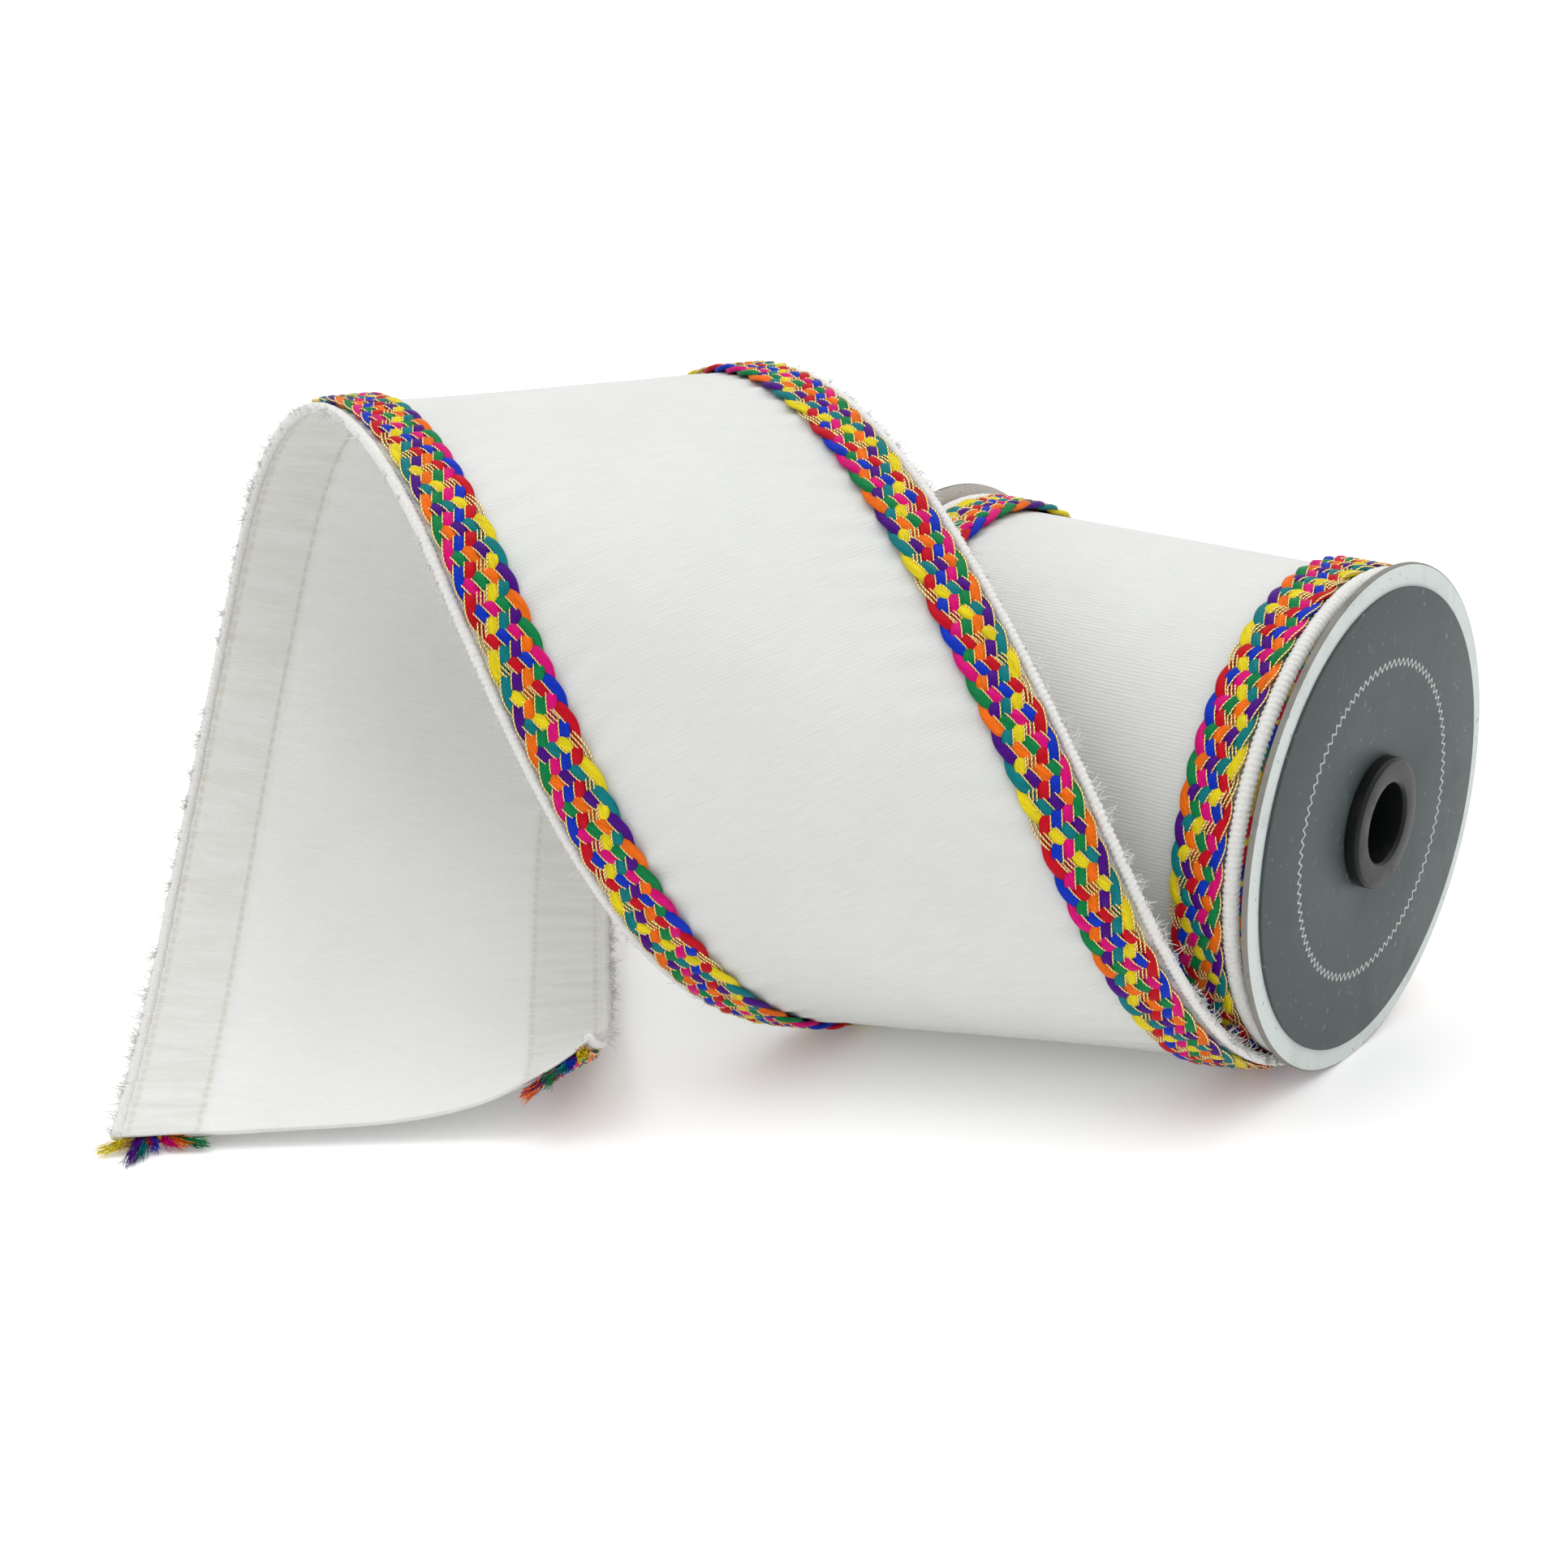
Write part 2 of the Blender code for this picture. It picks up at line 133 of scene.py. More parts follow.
# The spool
FLANGE_RADIUS = 0.5 * (FLANGE_HIGH[1] - FLANGE_LOW[1])
AXIS_HEIGHT = FLANGE_HIGH[2] - FLANGE_RADIUS
FLANGE_THICKNESS = FLANGE_HIGH[0] - FLANGE_LOW[0]
FLANGE_HOLE_RADIUS = 11.3
CARD_THICKNESS = 1.3
FAR_INNER_X = FAR_FLANGE_HIGH[0] - ORIGIN[0]
FAR_OUTER_X = FAR_FLANGE_LOW[0] - ORIGIN[0]
CENTRE_X = 0.5 * (FAR_INNER_X - FLANGE_THICKNESS)
LABEL_RADIUS = 49.2
LABEL_THICKNESS = 0.5
PIECE_GAP = 0.3
CORE_RADIUS = 19.0
CORE_WALL = 2.0
HUB_RADIUS = 14.0
HUB_BORE_RADIUS = 8.5
HUB_NECK_RADIUS = 11.0
HUB_DEPTH = 12.0
HUB_HEAD = 2.8
HUB_CHAMFER = 0.6
TURNING_STEPS = 180

# The camera's place is measured as the spool's places are; its turn and tilt are in degrees
CAMERA_PLACE = (230.0, -514.0, 267.0)
CAMERA_TURN = 36.6
CAMERA_TILT = 20.5
SENSOR_WIDTH = 36.0
LENS_LENGTH = 65.2
FLOOR_REACH = 4.0

BEND_TABLE = (
    # along, bend in degrees for each 10 mm, slant of the bending line in degrees
    (0.0, 0.0, -25.0),
    (15.0, 0.5, -25.0),
    (40.0, 10.0, -24.0),
    (80.0, 9.2, -28.0),
    (120.0, 8.8, -33.0),
    (160.0, 7.6, -42.0),
    (200.0, 6.2, -22.0),
    (240.0, 6.0, -13.0),
    (280.0, 7.4, -13.0),
    (320.0, 9.3, -22.0),
    (360.0, 10.4, -11.0),
    (400.0, 9.8, 8.0),
    (440.0, 4.8, -26.0),
    (530.0, 0.4, -44.0),
    (545.0, 5.0, -47.0),
    (575.0, 11.0, -49.0),
)

# Frayed strands at the cut, from left to right in front view: place across the braid from -1 to 1, length
# and sideways lean
FAR_TUFT = (
    # dye, place, length, lean
    ("yellow", -1.0, 2.5, -5.5),
    ("gold", -0.8, 1.5, -2.0),
    ("purple", -0.6, 6.5, -1.5),
    ("teal", -0.4, 4.5, -0.5),
    ("red", -0.3, 0.8, 1.0),
    ("blue", 0.0, 1.8, 0.5),
    ("magenta", 0.35, 1.0, 2.5),
    ("orange", 0.7, 1.2, 3.5),
    ("green", 0.9, 1.0, 6.0),
)
NEAR_TUFT = (
    ("orange", -1.0, 4.5, -4.0),
    ("purple", -0.8, 3.0, -4.5),
    ("green", -0.4, 3.0, -2.0),
    ("magenta", -0.2, 1.0, -2.0),
    ("teal", 0.1, 2.5, -1.0),
    ("blue", 0.4, 1.5, -0.5),
    ("yellow", 0.8, 3.0, 1.5),
    ("gold", 0.9, 2.0, 1.5),
    ("red", 1.0, 1.0, 0.5),
)

BRAIDS = (
    # side, word, sense of the swing, where a lobe starts along the free end and round the roll, degrees of
    # the roll left free, hairs on the edge, tuft
    (-1, "far", 1.0, 257.0, 20.0, 12.0, 1400, FAR_TUFT),
    (1, "near", -1.0, 231.0, -ROLL_RADIUS * math.radians(203.0), 14.0, 2800, NEAR_TUFT),
)
TUFT_SEED = 25
FUZZ_SEED = 15
ROOTS_SEED = 5

# Materials of the roll's faces, by number
OUTER_CLOTH, INNER_BRAID, BEAD = 0, 1, 2


# Shapes


def trace_free_end():
    """The middle line of the free end and its frame.

    It is stepped along the bend table. At each step the frame turns by the bend about the bending line,
    which is the width direction plus tan(slant) times the travel direction. The line then goes on by the
    mean of the two travel directions.
    """
    table = np.array(BEND_TABLE)
    stations = np.arange(-TRACE_MARGIN, FREE_LENGTH + TRACE_MARGIN, TRACE_STEP)
    middles = 0.5 * (stations[1:] + stations[:-1])
    bends = np.radians(np.interp(middles, table[:, 0], table[:, 1]) / 10.0) * TRACE_STEP
    bends[middles < 0.0] = 0.0
    tangents = np.tan(np.radians(table[:, 2]))
    slants = np.interp(stations, table[:, 0], tangents)
    travel, width = np.array([0.0, -1.0, 0.0]), np.array([1.0, 0.0, 0.0])
    place = np.array([CENTRE_X, -stations[0], AXIS_HEIGHT - FREE_CLOTH_RADIUS])
    rows = [(place, travel, width)]
    for bend, slant in zip(bends, np.interp(middles, table[:, 0], tangents)):
        line = width + slant * travel
        line /= np.linalg.norm(line)
        turned = [rotated(vector, line, -bend) for vector in (travel, width)]
        place = place + 0.5 * TRACE_STEP * (travel + turned[0])
        travel, width = turned
        rows.append((place, travel, width))
    return stations, slants, np.array(rows).reshape(len(stations), 9)


def rotated(vector, axis, angle):
    """A vector turned about a unit axis: the sum of its parts kept, turned and along the axis."""
    kept = vector * math.cos(angle) + np.cross(axis, vector) * math.sin(angle)
    return kept + axis * np.dot(axis, vector) * (1.0 - math.cos(angle))


STATIONS, SLANTS, TRACED = trace_free_end()
SLANT_SLOPES = np.gradient(SLANTS, STATIONS)


def on_free_end(along, across, lift):
    """Places on the bent strip.

    The bending line that crosses the middle at station s meets the flat strip where along is s plus across
    times tan(slant at s). That is solved for s by Newton's steps, and the place lies on the line through s.
    """
    along, across, lift = np.broadcast_arrays(along, across, lift)
    station = np.array(along, float)
    newton_steps = 24
    for _ in range(newton_steps):
        error = station + across * np.interp(station, STATIONS, SLANTS) - along
        station = station - error / (1.0 + across * np.interp(station, STATIONS, SLANT_SLOPES))
    slant = np.interp(station, STATIONS, SLANTS)[..., None]
    values = np.stack([np.interp(station, STATIONS, TRACED[:, k]) for k in range(9)], axis=-1)
    place, travel, width = values[..., 0:3], values[..., 3:6], values[..., 6:9]
    outward = np.cross(width, travel)
    outward /= np.linalg.norm(outward, axis=-1, keepdims=True)
    return place + across[..., None] * (width + slant * travel) + lift[..., None] * outward


def on_roll(along, across, lift):
    """Places round the roll, where along is negative and counted back from the tangent point under it."""
    turn = np.asarray(along) / ROLL_RADIUS
    radius = ROLL_RADIUS + lift
    return np.stack(
        np.broadcast_arrays(CENTRE_X + across, -radius * np.sin(turn), AXIS_HEIGHT - radius * np.cos(turn)),
        axis=-1,
    )


def ripple(along, wavelength, seed):
    """An uneven wave: two sines whose phase wanders slowly, from -1 to 1."""
    wander = 1.7 * np.sin(along / 31.0 + seed) + 1.1 * np.sin(along / 17.3 + 2.0 * seed)
    first = np.sin(2.0 * np.pi * along / wavelength + wander)
    second = np.sin(2.0 * np.pi * along / (1.63 * wavelength) - 1.4 * wander + seed)
    return 0.6 * first + 0.4 * second


def bump_near(values, middle, reach):
    """1 at the middle, falling to 0 at reach from it, as a raised cosine."""
    distance = np.clip(np.abs(values - middle) / reach, 0.0, 1.0)
    return 0.5 + 0.5 * np.cos(np.pi * distance)


def cloth_pucker(along, across):
    """How far the cloth stands out: small gathers beside each braid, and long shallow waves all over."""
    beside = BRAID_MIDDLE - BRAID_SWING - 1.5
    seed = np.where(across > 0.0, 1.0, 4.2)
    gathers = ripple(along + 0.25 * np.abs(across), GATHER_LENGTH, seed)
    gathers = gathers * bump_near(np.abs(across), beside, GATHER_REACH)
    waves = np.sin(along / 23.0 + across / 19.0) + 0.7 * np.sin(along / 14.0 - across / 27.0 + 1.3)
    return GATHER_HEIGHT * gathers + WAVE_HEIGHT * waves * bump_near(across, 0.0, HALF_WIDTH)


def make_piece(name, points, quads, caps=(), flat=None, dyes=None, materials=(), face_material=None):
    """A mesh piece from arrays: points and flat places in mm, four-cornered faces and end caps.

    The sum of each face's corner triangle products has the sign of the volume, so a negative one means that
    the faces point inwards and are turned over.
    """
    points = np.asarray(points, float).reshape(-1, 3)
    quads = np.asarray(quads)
    first, second, third, fourth = (points[quads[:, k]] for k in range(4))
    volume = np.sum(first * (np.cross(second, third) + np.cross(third, fourth)))
    caps = [list(cap) for cap in caps]
    faces = quads.tolist() + caps
    if volume < 0.0:
        faces = [face[::-1] for face in faces]
    mesh = bpy.data.meshes.new(name)
    mesh.from_pydata(((points + ORIGIN) * MILLIMETRE).tolist(), [], faces)
    for material in materials:
        mesh.materials.append(material)
    if face_material is not None:
        mesh.polygons.foreach_set("material_index", np.asarray(face_material, np.int32))
    if flat is not None:
        corners = np.empty(len(mesh.loops), np.int32)
        mesh.loops.foreach_get("vertex_index", corners)
        layer = mesh.uv_layers.new(name="flat")
        flat = np.asarray(flat, float).reshape(-1, 2) * MILLIMETRE
        layer.data.foreach_set("uv", flat[corners].astype(np.float32).ravel())
    if dyes is not None:
        layer = mesh.color_attributes.new(name="dye", type="FLOAT_COLOR", domain="POINT")
        layer.data.foreach_set("color", np.asarray(dyes, np.float32).ravel())
    mesh.shade_smooth()
    piece = bpy.data.objects.new(name, mesh)
    bpy.context.scene.collection.objects.link(piece)
    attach(piece, "root")
    return piece


def grid_quads(rows, columns, wrap, first=0):
    """Faces of a grid of points numbered row by row from first. wrap joins its last column to its first."""
    row = np.arange(rows - 1)[:, None]
    column = np.arange(columns if wrap else columns - 1)[None, :]
    here = first + row * columns + column
    beside = first + row * columns + (column + 1) % columns
    return np.stack([here, beside, beside + columns, here + columns], axis=-1).reshape(-1, 4)


def tube_faces(count, rows, sides):
    """Faces and end caps of count tubes, whose points are numbered tube by tube and ring by ring."""
    size = rows * sides
    quads = np.concatenate([grid_quads(rows, sides, True, k * size) for k in range(count)])
    ring = np.arange(sides)
    caps = [(k * size + ring[::-1]).tolist() for k in range(count)]
    caps += [(k * size + size - sides + ring).tolist() for k in range(count)]
    return quads, caps


def make_cloth():
    """The free end's cloth: two skins on a grid of along and across, joined at the edges and both ends."""
    rows = np.linspace(-TUCKED_LENGTH, FREE_LENGTH, CLOTH_ROWS)[:, None]
    columns = np.linspace(-HALF_WIDTH + CLOTH_INSET, HALF_WIDTH - CLOTH_INSET, CLOTH_COLUMNS)
    half = 0.5 * CLOTH_THICKNESS
    pucker = cloth_pucker(rows, columns[None, :])
    # Under the braid the stitching draws the underside into fine ridges
    seam = bump_near(np.abs(columns[None, :]), SEAM_MIDDLE, SEAM_REACH)
    ridges = RIDGE_HEIGHT * seam * ripple(rows + 0.1 * np.abs(columns[None, :]), RIDGE_LENGTH, 2.5)
    outer = on_free_end(rows, columns[None, :], pucker + half)
    inner = on_free_end(rows, columns[None, ::-1], (pucker - half + ridges)[:, ::-1])
    points = np.concatenate([outer, inner], axis=1)
    count = len(columns)
    ring = 2 * count
    flat = np.stack(np.broadcast_arrays(np.concatenate([columns, columns[::-1]])[None, :], rows), axis=-1)
    quads = grid_quads(len(rows), ring, True)
    under = np.tile(np.arange(ring) >= count, len(rows) - 1).astype(int)
    across = np.arange(count - 1)
    closing = []
    for base, order in ((0, 1), ((len(rows) - 1) * ring, -1)):
        corners = [base + across + 1, base + across, base + ring - 1 - across, base + ring - 2 - across]
        closing.append(np.stack(corners[::order], axis=-1))
    quads = np.concatenate([quads, *closing])
    under = np.concatenate([under, np.zeros(2 * (count - 1), int)])
    return make_piece(
        "ribbon_sheet", points, quads, flat=flat, materials=[CLOTH, UNDERSIDE], face_material=under
    )


def make_whipping(name, place, start, end, across, radius):
    """Thread wound over an edge: a tube round the edge line that swells once for each turn of the thread."""
    rows = np.arange(start, end, THREAD_STEP)[:, None]
    angle = np.linspace(0.0, 2.0 * np.pi, THREAD_SIDES, endpoint=False)[None, :]
    turns = 2.0 * np.pi * rows / THREAD_PITCH + 0.8 * np.sin(rows / 5.1) + angle
    uneven = 0.5 * np.sin(rows * 1.9 + 3.0 * angle) * np.sin(rows / 2.3)
    swollen = radius + THREAD_BULGE * np.cos(turns) + THREAD_UNEVENNESS * uneven
    side = math.copysign(1.0, across)
    lift = radius - THREAD_DROP + swollen * np.sin(angle)
    points = place(rows, across + side * swollen * np.cos(angle) * 1.1, lift)
    flat = np.stack(np.broadcast_arrays(angle, rows), axis=-1)
    quads, caps = tube_faces(1, len(rows), THREAD_SIDES)
    return make_piece(name, points, quads, caps, flat=flat, materials=[WHIPPING])


def strand_weave(phase):
    """Height of a strand from -1 to 1: over and under at each of eight crossings, rising at both turns."""
    share = phase % 1.0
    wave = np.where(share < 0.5, -1.0, 1.0) * np.cos(18.0 * np.pi * share)
    from_turn = share - np.round(2.0 * share) / 2.0
    return np.where(np.abs(from_turn) < 1.0 / 18.0, np.sin(9.0 * np.pi * from_turn), wave)


def strand_swing(phase):
    """Place of a strand across the braid: a triangle wave from -1 to 1 with rounded turns, which is the arc
    sine of a sine that stays a little short of 1."""
    wave = SWING_ROUNDING * np.sin(2.0 * np.pi * (phase - 0.25))
    return np.arcsin(wave) / math.asin(SWING_ROUNDING)


def make_braid(name, place, side, start, end, phase, sense):
    """A flat braid of nine strands carried along the ribbon.

    Strand j swings across as a triangle wave of the braid's period, shifted by j lobes, and weaves up and
    down at its crossings. Each ring of a strand is an ellipse across its path, worked out on the flat
    strip, which place then bends. A thin gold tube runs beside each dyed strand, and three such tubes make
    up the gold strand.
    """
    rows = np.arange(start, end, STRAND_STEP)
    travel = sense * (rows - phase)
    numbers = np.arange(STRAND_COUNT)[:, None]
    phases = travel[None, :] / BRAID_PERIOD - numbers / STRAND_COUNT
    swing = BRAID_SWING * strand_swing(phases)
    weave = strand_weave(phases)
    slope = np.gradient(swing, travel, axis=1)
    slope_length = np.sqrt(1.0 + slope**2)

    def tubes(which, offset, raised, half_width, half_height, sides):
        angle = np.linspace(0.0, 2.0 * np.pi, sides, endpoint=False)[None, None, :]
        line, hill = slope[which][:, :, None], weave[which][:, :, None]
        outline = np.sign(np.cos(angle)) * np.abs(np.cos(angle)) ** 0.7
        aside = (offset + half_width[:, :, None] * outline) / slope_length[which][:, :, None]
        moved = travel[None, :, None] + aside * line
        swung = swing[which][:, :, None] - aside
        lift = BRAID_LIFT + STRAND_WEAVE * hill + raised + half_height * np.sin(angle)
        points = place(phase + sense * moved, side * (BRAID_MIDDLE + swung), lift)
        around = angle * STRAND_HALF_WIDTH + 3.7 * np.arange(len(which))[:, None, None]
        flat = np.stack(np.broadcast_arrays(around, travel[None, :, None]), axis=-1)
        return points, flat

    dyed = np.array([k for k, (dye, _) in enumerate(STRAND_DYES) if dye != "gold"])
    gold = np.array([k for k, (dye, _) in enumerate(STRAND_DYES) if dye == "gold"])
    swell = STRAND_HALF_WIDTH * (1.0 + 0.10 * weave[dyed])
    parts = [tubes(dyed, 0.0, 0.0, swell, STRAND_HALF_HEIGHT, STRAND_SIDES)]
    thin = np.full((len(dyed), len(rows)), GOLD_RADIUS)
    parts.append(tubes(dyed, GOLD_ASIDE, GOLD_RAISED, thin, GOLD_RADIUS, GOLD_SIDES))
    for offset in GOLD_BUNDLE:
        thread = np.full((1, len(rows)), 1.2 * GOLD_RADIUS)
        parts.append(tubes(gold, offset, 0.1, thread, 1.2 * GOLD_RADIUS, GOLD_SIDES))

    all_points, all_flat, all_quads, all_caps, metal = [], [], [], [], []
    first = 0
    for points, flat in parts:
        count, length, sides = points.shape[:3]
        quads, caps = tube_faces(count, length, sides)
        all_quads.append(quads + first)
        all_caps.append([[corner + first for corner in cap] for cap in caps])
        metal.append((len(quads), len(caps), int(sides == GOLD_SIDES)))
        all_points.append(points.reshape(-1, 3))
        all_flat.append(flat.reshape(-1, 2))
        first += count * length * sides
    points = np.concatenate(all_points)
    dyes = np.ones((len(points), 4))
    colours = np.array([STRAND_DYES[k][1] for k in dyed])
    dyes[: len(all_points[0]), :3] = np.repeat(colours, len(all_points[0]) // len(dyed), axis=0)
    dyes[len(all_points[0]) :, :3] = DYES["gold"]
    quads = np.concatenate(all_quads)
    caps = [cap for group in all_caps for cap in group]
    face_material = [kind for count, _, kind in metal for _ in range(count)]
    face_material += [kind for _, count, kind in metal for _ in range(count)]
    flat, materials = np.concatenate(all_flat), [SILKY_STRAND, GOLD_THREAD]
    return make_piece(name, points, quads, caps, flat, dyes, materials, face_material)


def fibre_tubes(paths, radii):
    """Three-sided tapered tubes along paths, an array of tube by step by place, with one radius a step."""
    travel = np.gradient(paths, axis=1)
    travel /= np.linalg.norm(travel, axis=-1, keepdims=True) + 1e-9
    up = np.array([0.12, 0.31, 0.94])
    first = np.cross(travel, up)
    first /= np.linalg.norm(first, axis=-1, keepdims=True) + 1e-9
    second = np.cross(travel, first)
    angle = np.linspace(0.0, 2.0 * np.pi, 3, endpoint=False)[None, None, :, None]
    turned = first[:, :, None, :] * np.cos(angle) + second[:, :, None, :] * np.sin(angle)
    points = paths[:, :, None, :] + radii[None, :, None, None] * turned
    quads, caps = tube_faces(paths.shape[0], paths.shape[1], 3)
    return points, quads, caps


def make_tuft(name, side, table, seed):
    """The frayed end of a braid: for each strand a twisted bundle of fibres that opens towards its tip.

    Each fibre starts round its bundle's root, runs forward by the bundle's length, leans aside with the
    square of the way gone, droops with the cube of it and strays from the bundle more and more.
    """
    draw = np.random.default_rng(seed)
    fibres, steps = 44, 10
    share = np.linspace(0.0, 1.0, steps)[None, :, None]
    edge = side * BRAID_MIDDLE
    corner = on_free_end(
        np.array([FREE_LENGTH - 1.0, FREE_LENGTH, FREE_LENGTH]),
        np.array([edge, edge, edge + 1.0]),
        np.full(3, BRAID_LIFT),
    )
    forward, sideways = corner[1] - corner[0], corner[2] - corner[1]
    paths, dyes = [], []
    for dye, place, length, lean in table:
        around = draw.uniform(0.0, 2.0 * np.pi, fibres)
        out = 0.85 * np.sqrt(draw.uniform(0.0, 1.0, fibres))
        across = edge + place * BRAID_HALF_WIDTH + out * np.cos(around)
        lift = BRAID_LIFT + 0.7 * out * np.sin(around)
        root = on_free_end(np.full(fibres, FREE_LENGTH - 2.0), across, lift)[:, None, :]
        reach = (length + 2.0) * draw.uniform(0.7, 1.1, fibres)[:, None, None]
        aside = (lean * draw.uniform(0.8, 1.1, fibres))[:, None, None]
        stray = draw.normal(0.0, 0.55, (fibres, 1, 3)) * share**2
        kink = draw.normal(0.0, 0.30, (fibres, 1, 3)) * np.sin(2.0 * np.pi * share)
        path = root + forward * reach * share + sideways * aside * share**2 + stray + kink
        path[:, :, 2] -= 0.25 * length * share[:, :, 0] ** 3
        path[:, :, 2] = np.maximum(path[:, :, 2], 0.25)
        paths.append(path)
        dyes.append(np.tile([*DYES[dye], 1.0], (fibres, 1)))
    paths = np.concatenate(paths)
    points, quads, caps = fibre_tubes(paths, np.linspace(0.16, 0.06, steps))
    along = np.broadcast_to(10.0 * share, (len(paths), steps, 3))
    flat = np.stack([np.zeros_like(along), along], axis=-1)
    dyes = np.repeat(np.concatenate(dyes), steps * 3, axis=0)
    return make_piece(name, points, quads, caps, flat, dyes, [SILKY_STRAND])


def make_fuzz(name, places, outward, seed):
    """Short curved hairs at given places, each a parabola between two random directions."""
    draw = np.random.default_rng(seed)
    steps = 5
    share = np.linspace(0.0, 1.0, steps)[None, :, None]
    length = draw.uniform(*HAIR_LENGTHS, (len(places), 1, 1))
    aim = outward + draw.normal(0.0, 0.45, outward.shape)
    bend = draw.normal(0.0, 0.6, outward.shape)
    paths = places[:, None, :] + length * (aim[:, None, :] * share + bend[:, None, :] * share**2)
    paths[:, :, 2] = np.maximum(paths[:, :, 2], 0.1)
    points, quads, caps = fibre_tubes(paths, np.linspace(*HAIR_RADII, steps))
    return make_piece(name, points, quads, caps, materials=[WHIPPING])


def edge_fuzz_roots(place, start, end, across, count, seed):
    """Random places along a whipped edge, in small clumps, and the direction away from the cloth there."""
    draw = np.random.default_rng(seed)
    clumps = draw.uniform(start, end, count // HAIRS_IN_A_CLUMP)
    along = np.repeat(clumps, HAIRS_IN_A_CLUMP)
    count = len(along)
    along = np.clip(along + draw.normal(0.0, CLUMP_SPREAD, count), start, end)
    lift = draw.uniform(-0.7, 0.7, count)
    inner = place(along, np.full(count, across), lift * 0.3)
    outer = place(along, np.full(count, across + math.copysign(1.0, across)), lift)
    return inner + 0.9 * (outer - inner), outer - inner


def revolved(name, profile, materials, face_material=None, steps=TURNING_STEPS, flat_spot=False):
    """A profile of (x, radius) corners turned round the spool's axis: y and z are the radius times the sine
    and cosine of the turn. A flat spot lifts what would be below the surface."""
    profile = np.array(profile, float)
    turn = np.linspace(0.0, 2.0 * np.pi, steps, endpoint=False)[:, None]
    x, radius = profile[None, :, 0], profile[None, :, 1]
    z = AXIS_HEIGHT - radius * np.cos(turn)
    z = np.maximum(z, 0.0) if flat_spot else z
    points = np.stack(np.broadcast_arrays(x, -radius * np.sin(turn), z), axis=-1)
    count = len(profile)
    quads = grid_quads(steps, count, True)
    last = (steps - 1) * count + np.arange(count)
    beside = (steps - 1) * count + (np.arange(count) + 1) % count
    closing = np.stack([last, beside, (np.arange(count) + 1) % count, np.arange(count)], axis=-1)
    quads = np.concatenate([quads, closing])
    flat = np.stack(np.broadcast_arrays(x, turn * ROLL_RADIUS), axis=-1)
    index = None if face_material is None else np.tile(face_material, steps)
    piece = make_piece(name, points, quads, flat=flat, materials=materials, face_material=index)
    piece.data.set_sharp_from_angle(angle=math.radians(40.0))
    return piece


def softened(profile, radius=0.25):
    """A closed profile in which three points of a quadratic curve take each corner's place."""
    profile = np.array(profile, float)
    before, after = np.roll(profile, 1, axis=0), np.roll(profile, -1, axis=0)
    rounded = []
    for corner, one, other in zip(profile, before, after):
        to_one, to_other = one - corner, other - corner
        cut = min(radius, 0.4 * np.linalg.norm(to_one), 0.4 * np.linalg.norm(to_other))
        first = corner + to_one / np.linalg.norm(to_one) * cut
        last = corner + to_other / np.linalg.norm(to_other) * cut
        for share in (0.0, 0.5, 1.0):
            start, end = (1 - share) ** 2 * first, share**2 * last
            rounded.append(start + 2 * share * (1 - share) * corner + end)
    return rounded


def make_roll():
    """The wound turns as one turned form: the outer cloth in the middle, and at each end a bead for every
    turn, whose reach varies as a sine, with a groove between beads where the braids of the turns show."""
    inner = CORE_RADIUS + PIECE_GAP
    turns = int((ROLL_RADIUS - inner) / TURN_PITCH)
    radii = ROLL_RADIUS - 0.9 - TURN_PITCH * np.arange(turns)[::-1]
    near, kinds = [(CENTRE_X + 46.0, inner)], []
    for number, radius in enumerate(radii):
        outermost = number > turns - 3
        reach = CENTRE_X + (49.2 + 0.7 * math.sin(2.4 * number) + 2.0 * outermost)
        near += [(reach - 2.6, radius - 1.1), (reach - 0.4, radius - 0.75)]
        near += [(reach, radius), (reach - 0.4, radius + 0.75)]
        kinds += [INNER_BRAID] + [INNER_BRAID if outermost else BEAD] * 3
    kinds += [BEAD]
    middle = [(CENTRE_X + across, ROLL_RADIUS) for across in np.linspace(46.5, -46.5, 40)]
    far = [(2.0 * CENTRE_X - x, radius) for x, radius in near[::-1]]
    face_material = kinds + [OUTER_CLOTH] * (len(middle) - 1) + kinds[::-1] + [BEAD]
    materials = [CLOTH, INNER_BRAIDS, WHIPPING]
    return revolved("wound_turns", near + middle + far, materials, face_material)


# Materials


def add(tree, kind, inputs=None, **settings):
    """A new node with its settings, its inputs set to values or joined to other nodes' outputs."""
    node = tree.nodes.new(kind)
    for name, value in settings.items():
        setattr(node, name, value)
    for name, value in (inputs or {}).items():
        if isinstance(value, bpy.types.NodeSocket):
            tree.links.new(value, node.inputs[name])
        else:
            node.inputs[name].default_value = value
    return node


def maths(tree, operation, first, second=0.0, third=0.0):
    """The result of one operation on up to three numbers."""
    node = add(tree, "ShaderNodeMath", {0: first, 1: second, 2: third}, operation=operation)
    return node.outputs[0]


def between(tree, value, low, high, to_low=0.0, to_high=1.0):
    """Value turned from the range low to high into the range to_low to to_high, held at its ends."""
    inputs = {"Value": value, "From Min": low, "From Max": high, "To Min": to_low, "To Max": to_high}
    return add(tree, "ShaderNodeMapRange", inputs).outputs[0]


def mixed(tree, share, first, second, blend="MIX"):
    """A colour share of the way from the first to the second, or the two blended in another way."""
    node = tree.nodes.new("ShaderNodeMix")
    node.data_type = "RGBA"
    node.blend_type = blend
    for index, value in ((0, share), (6, first), (7, second)):
        if isinstance(value, bpy.types.NodeSocket):
            tree.links.new(value, node.inputs[index])
        elif index == 0:
            node.inputs[index].default_value = value
        else:
            node.inputs[index].default_value = (*value, 1.0)
    return node.outputs[2]


def scaled(tree, vector, scale, shift=(0.0, 0.0, 0.0)):
    """A place times scale plus shift."""
    return add(tree, "ShaderNodeMapping", {"Vector": vector, "Scale": scale, "Location": shift}).outputs[0]


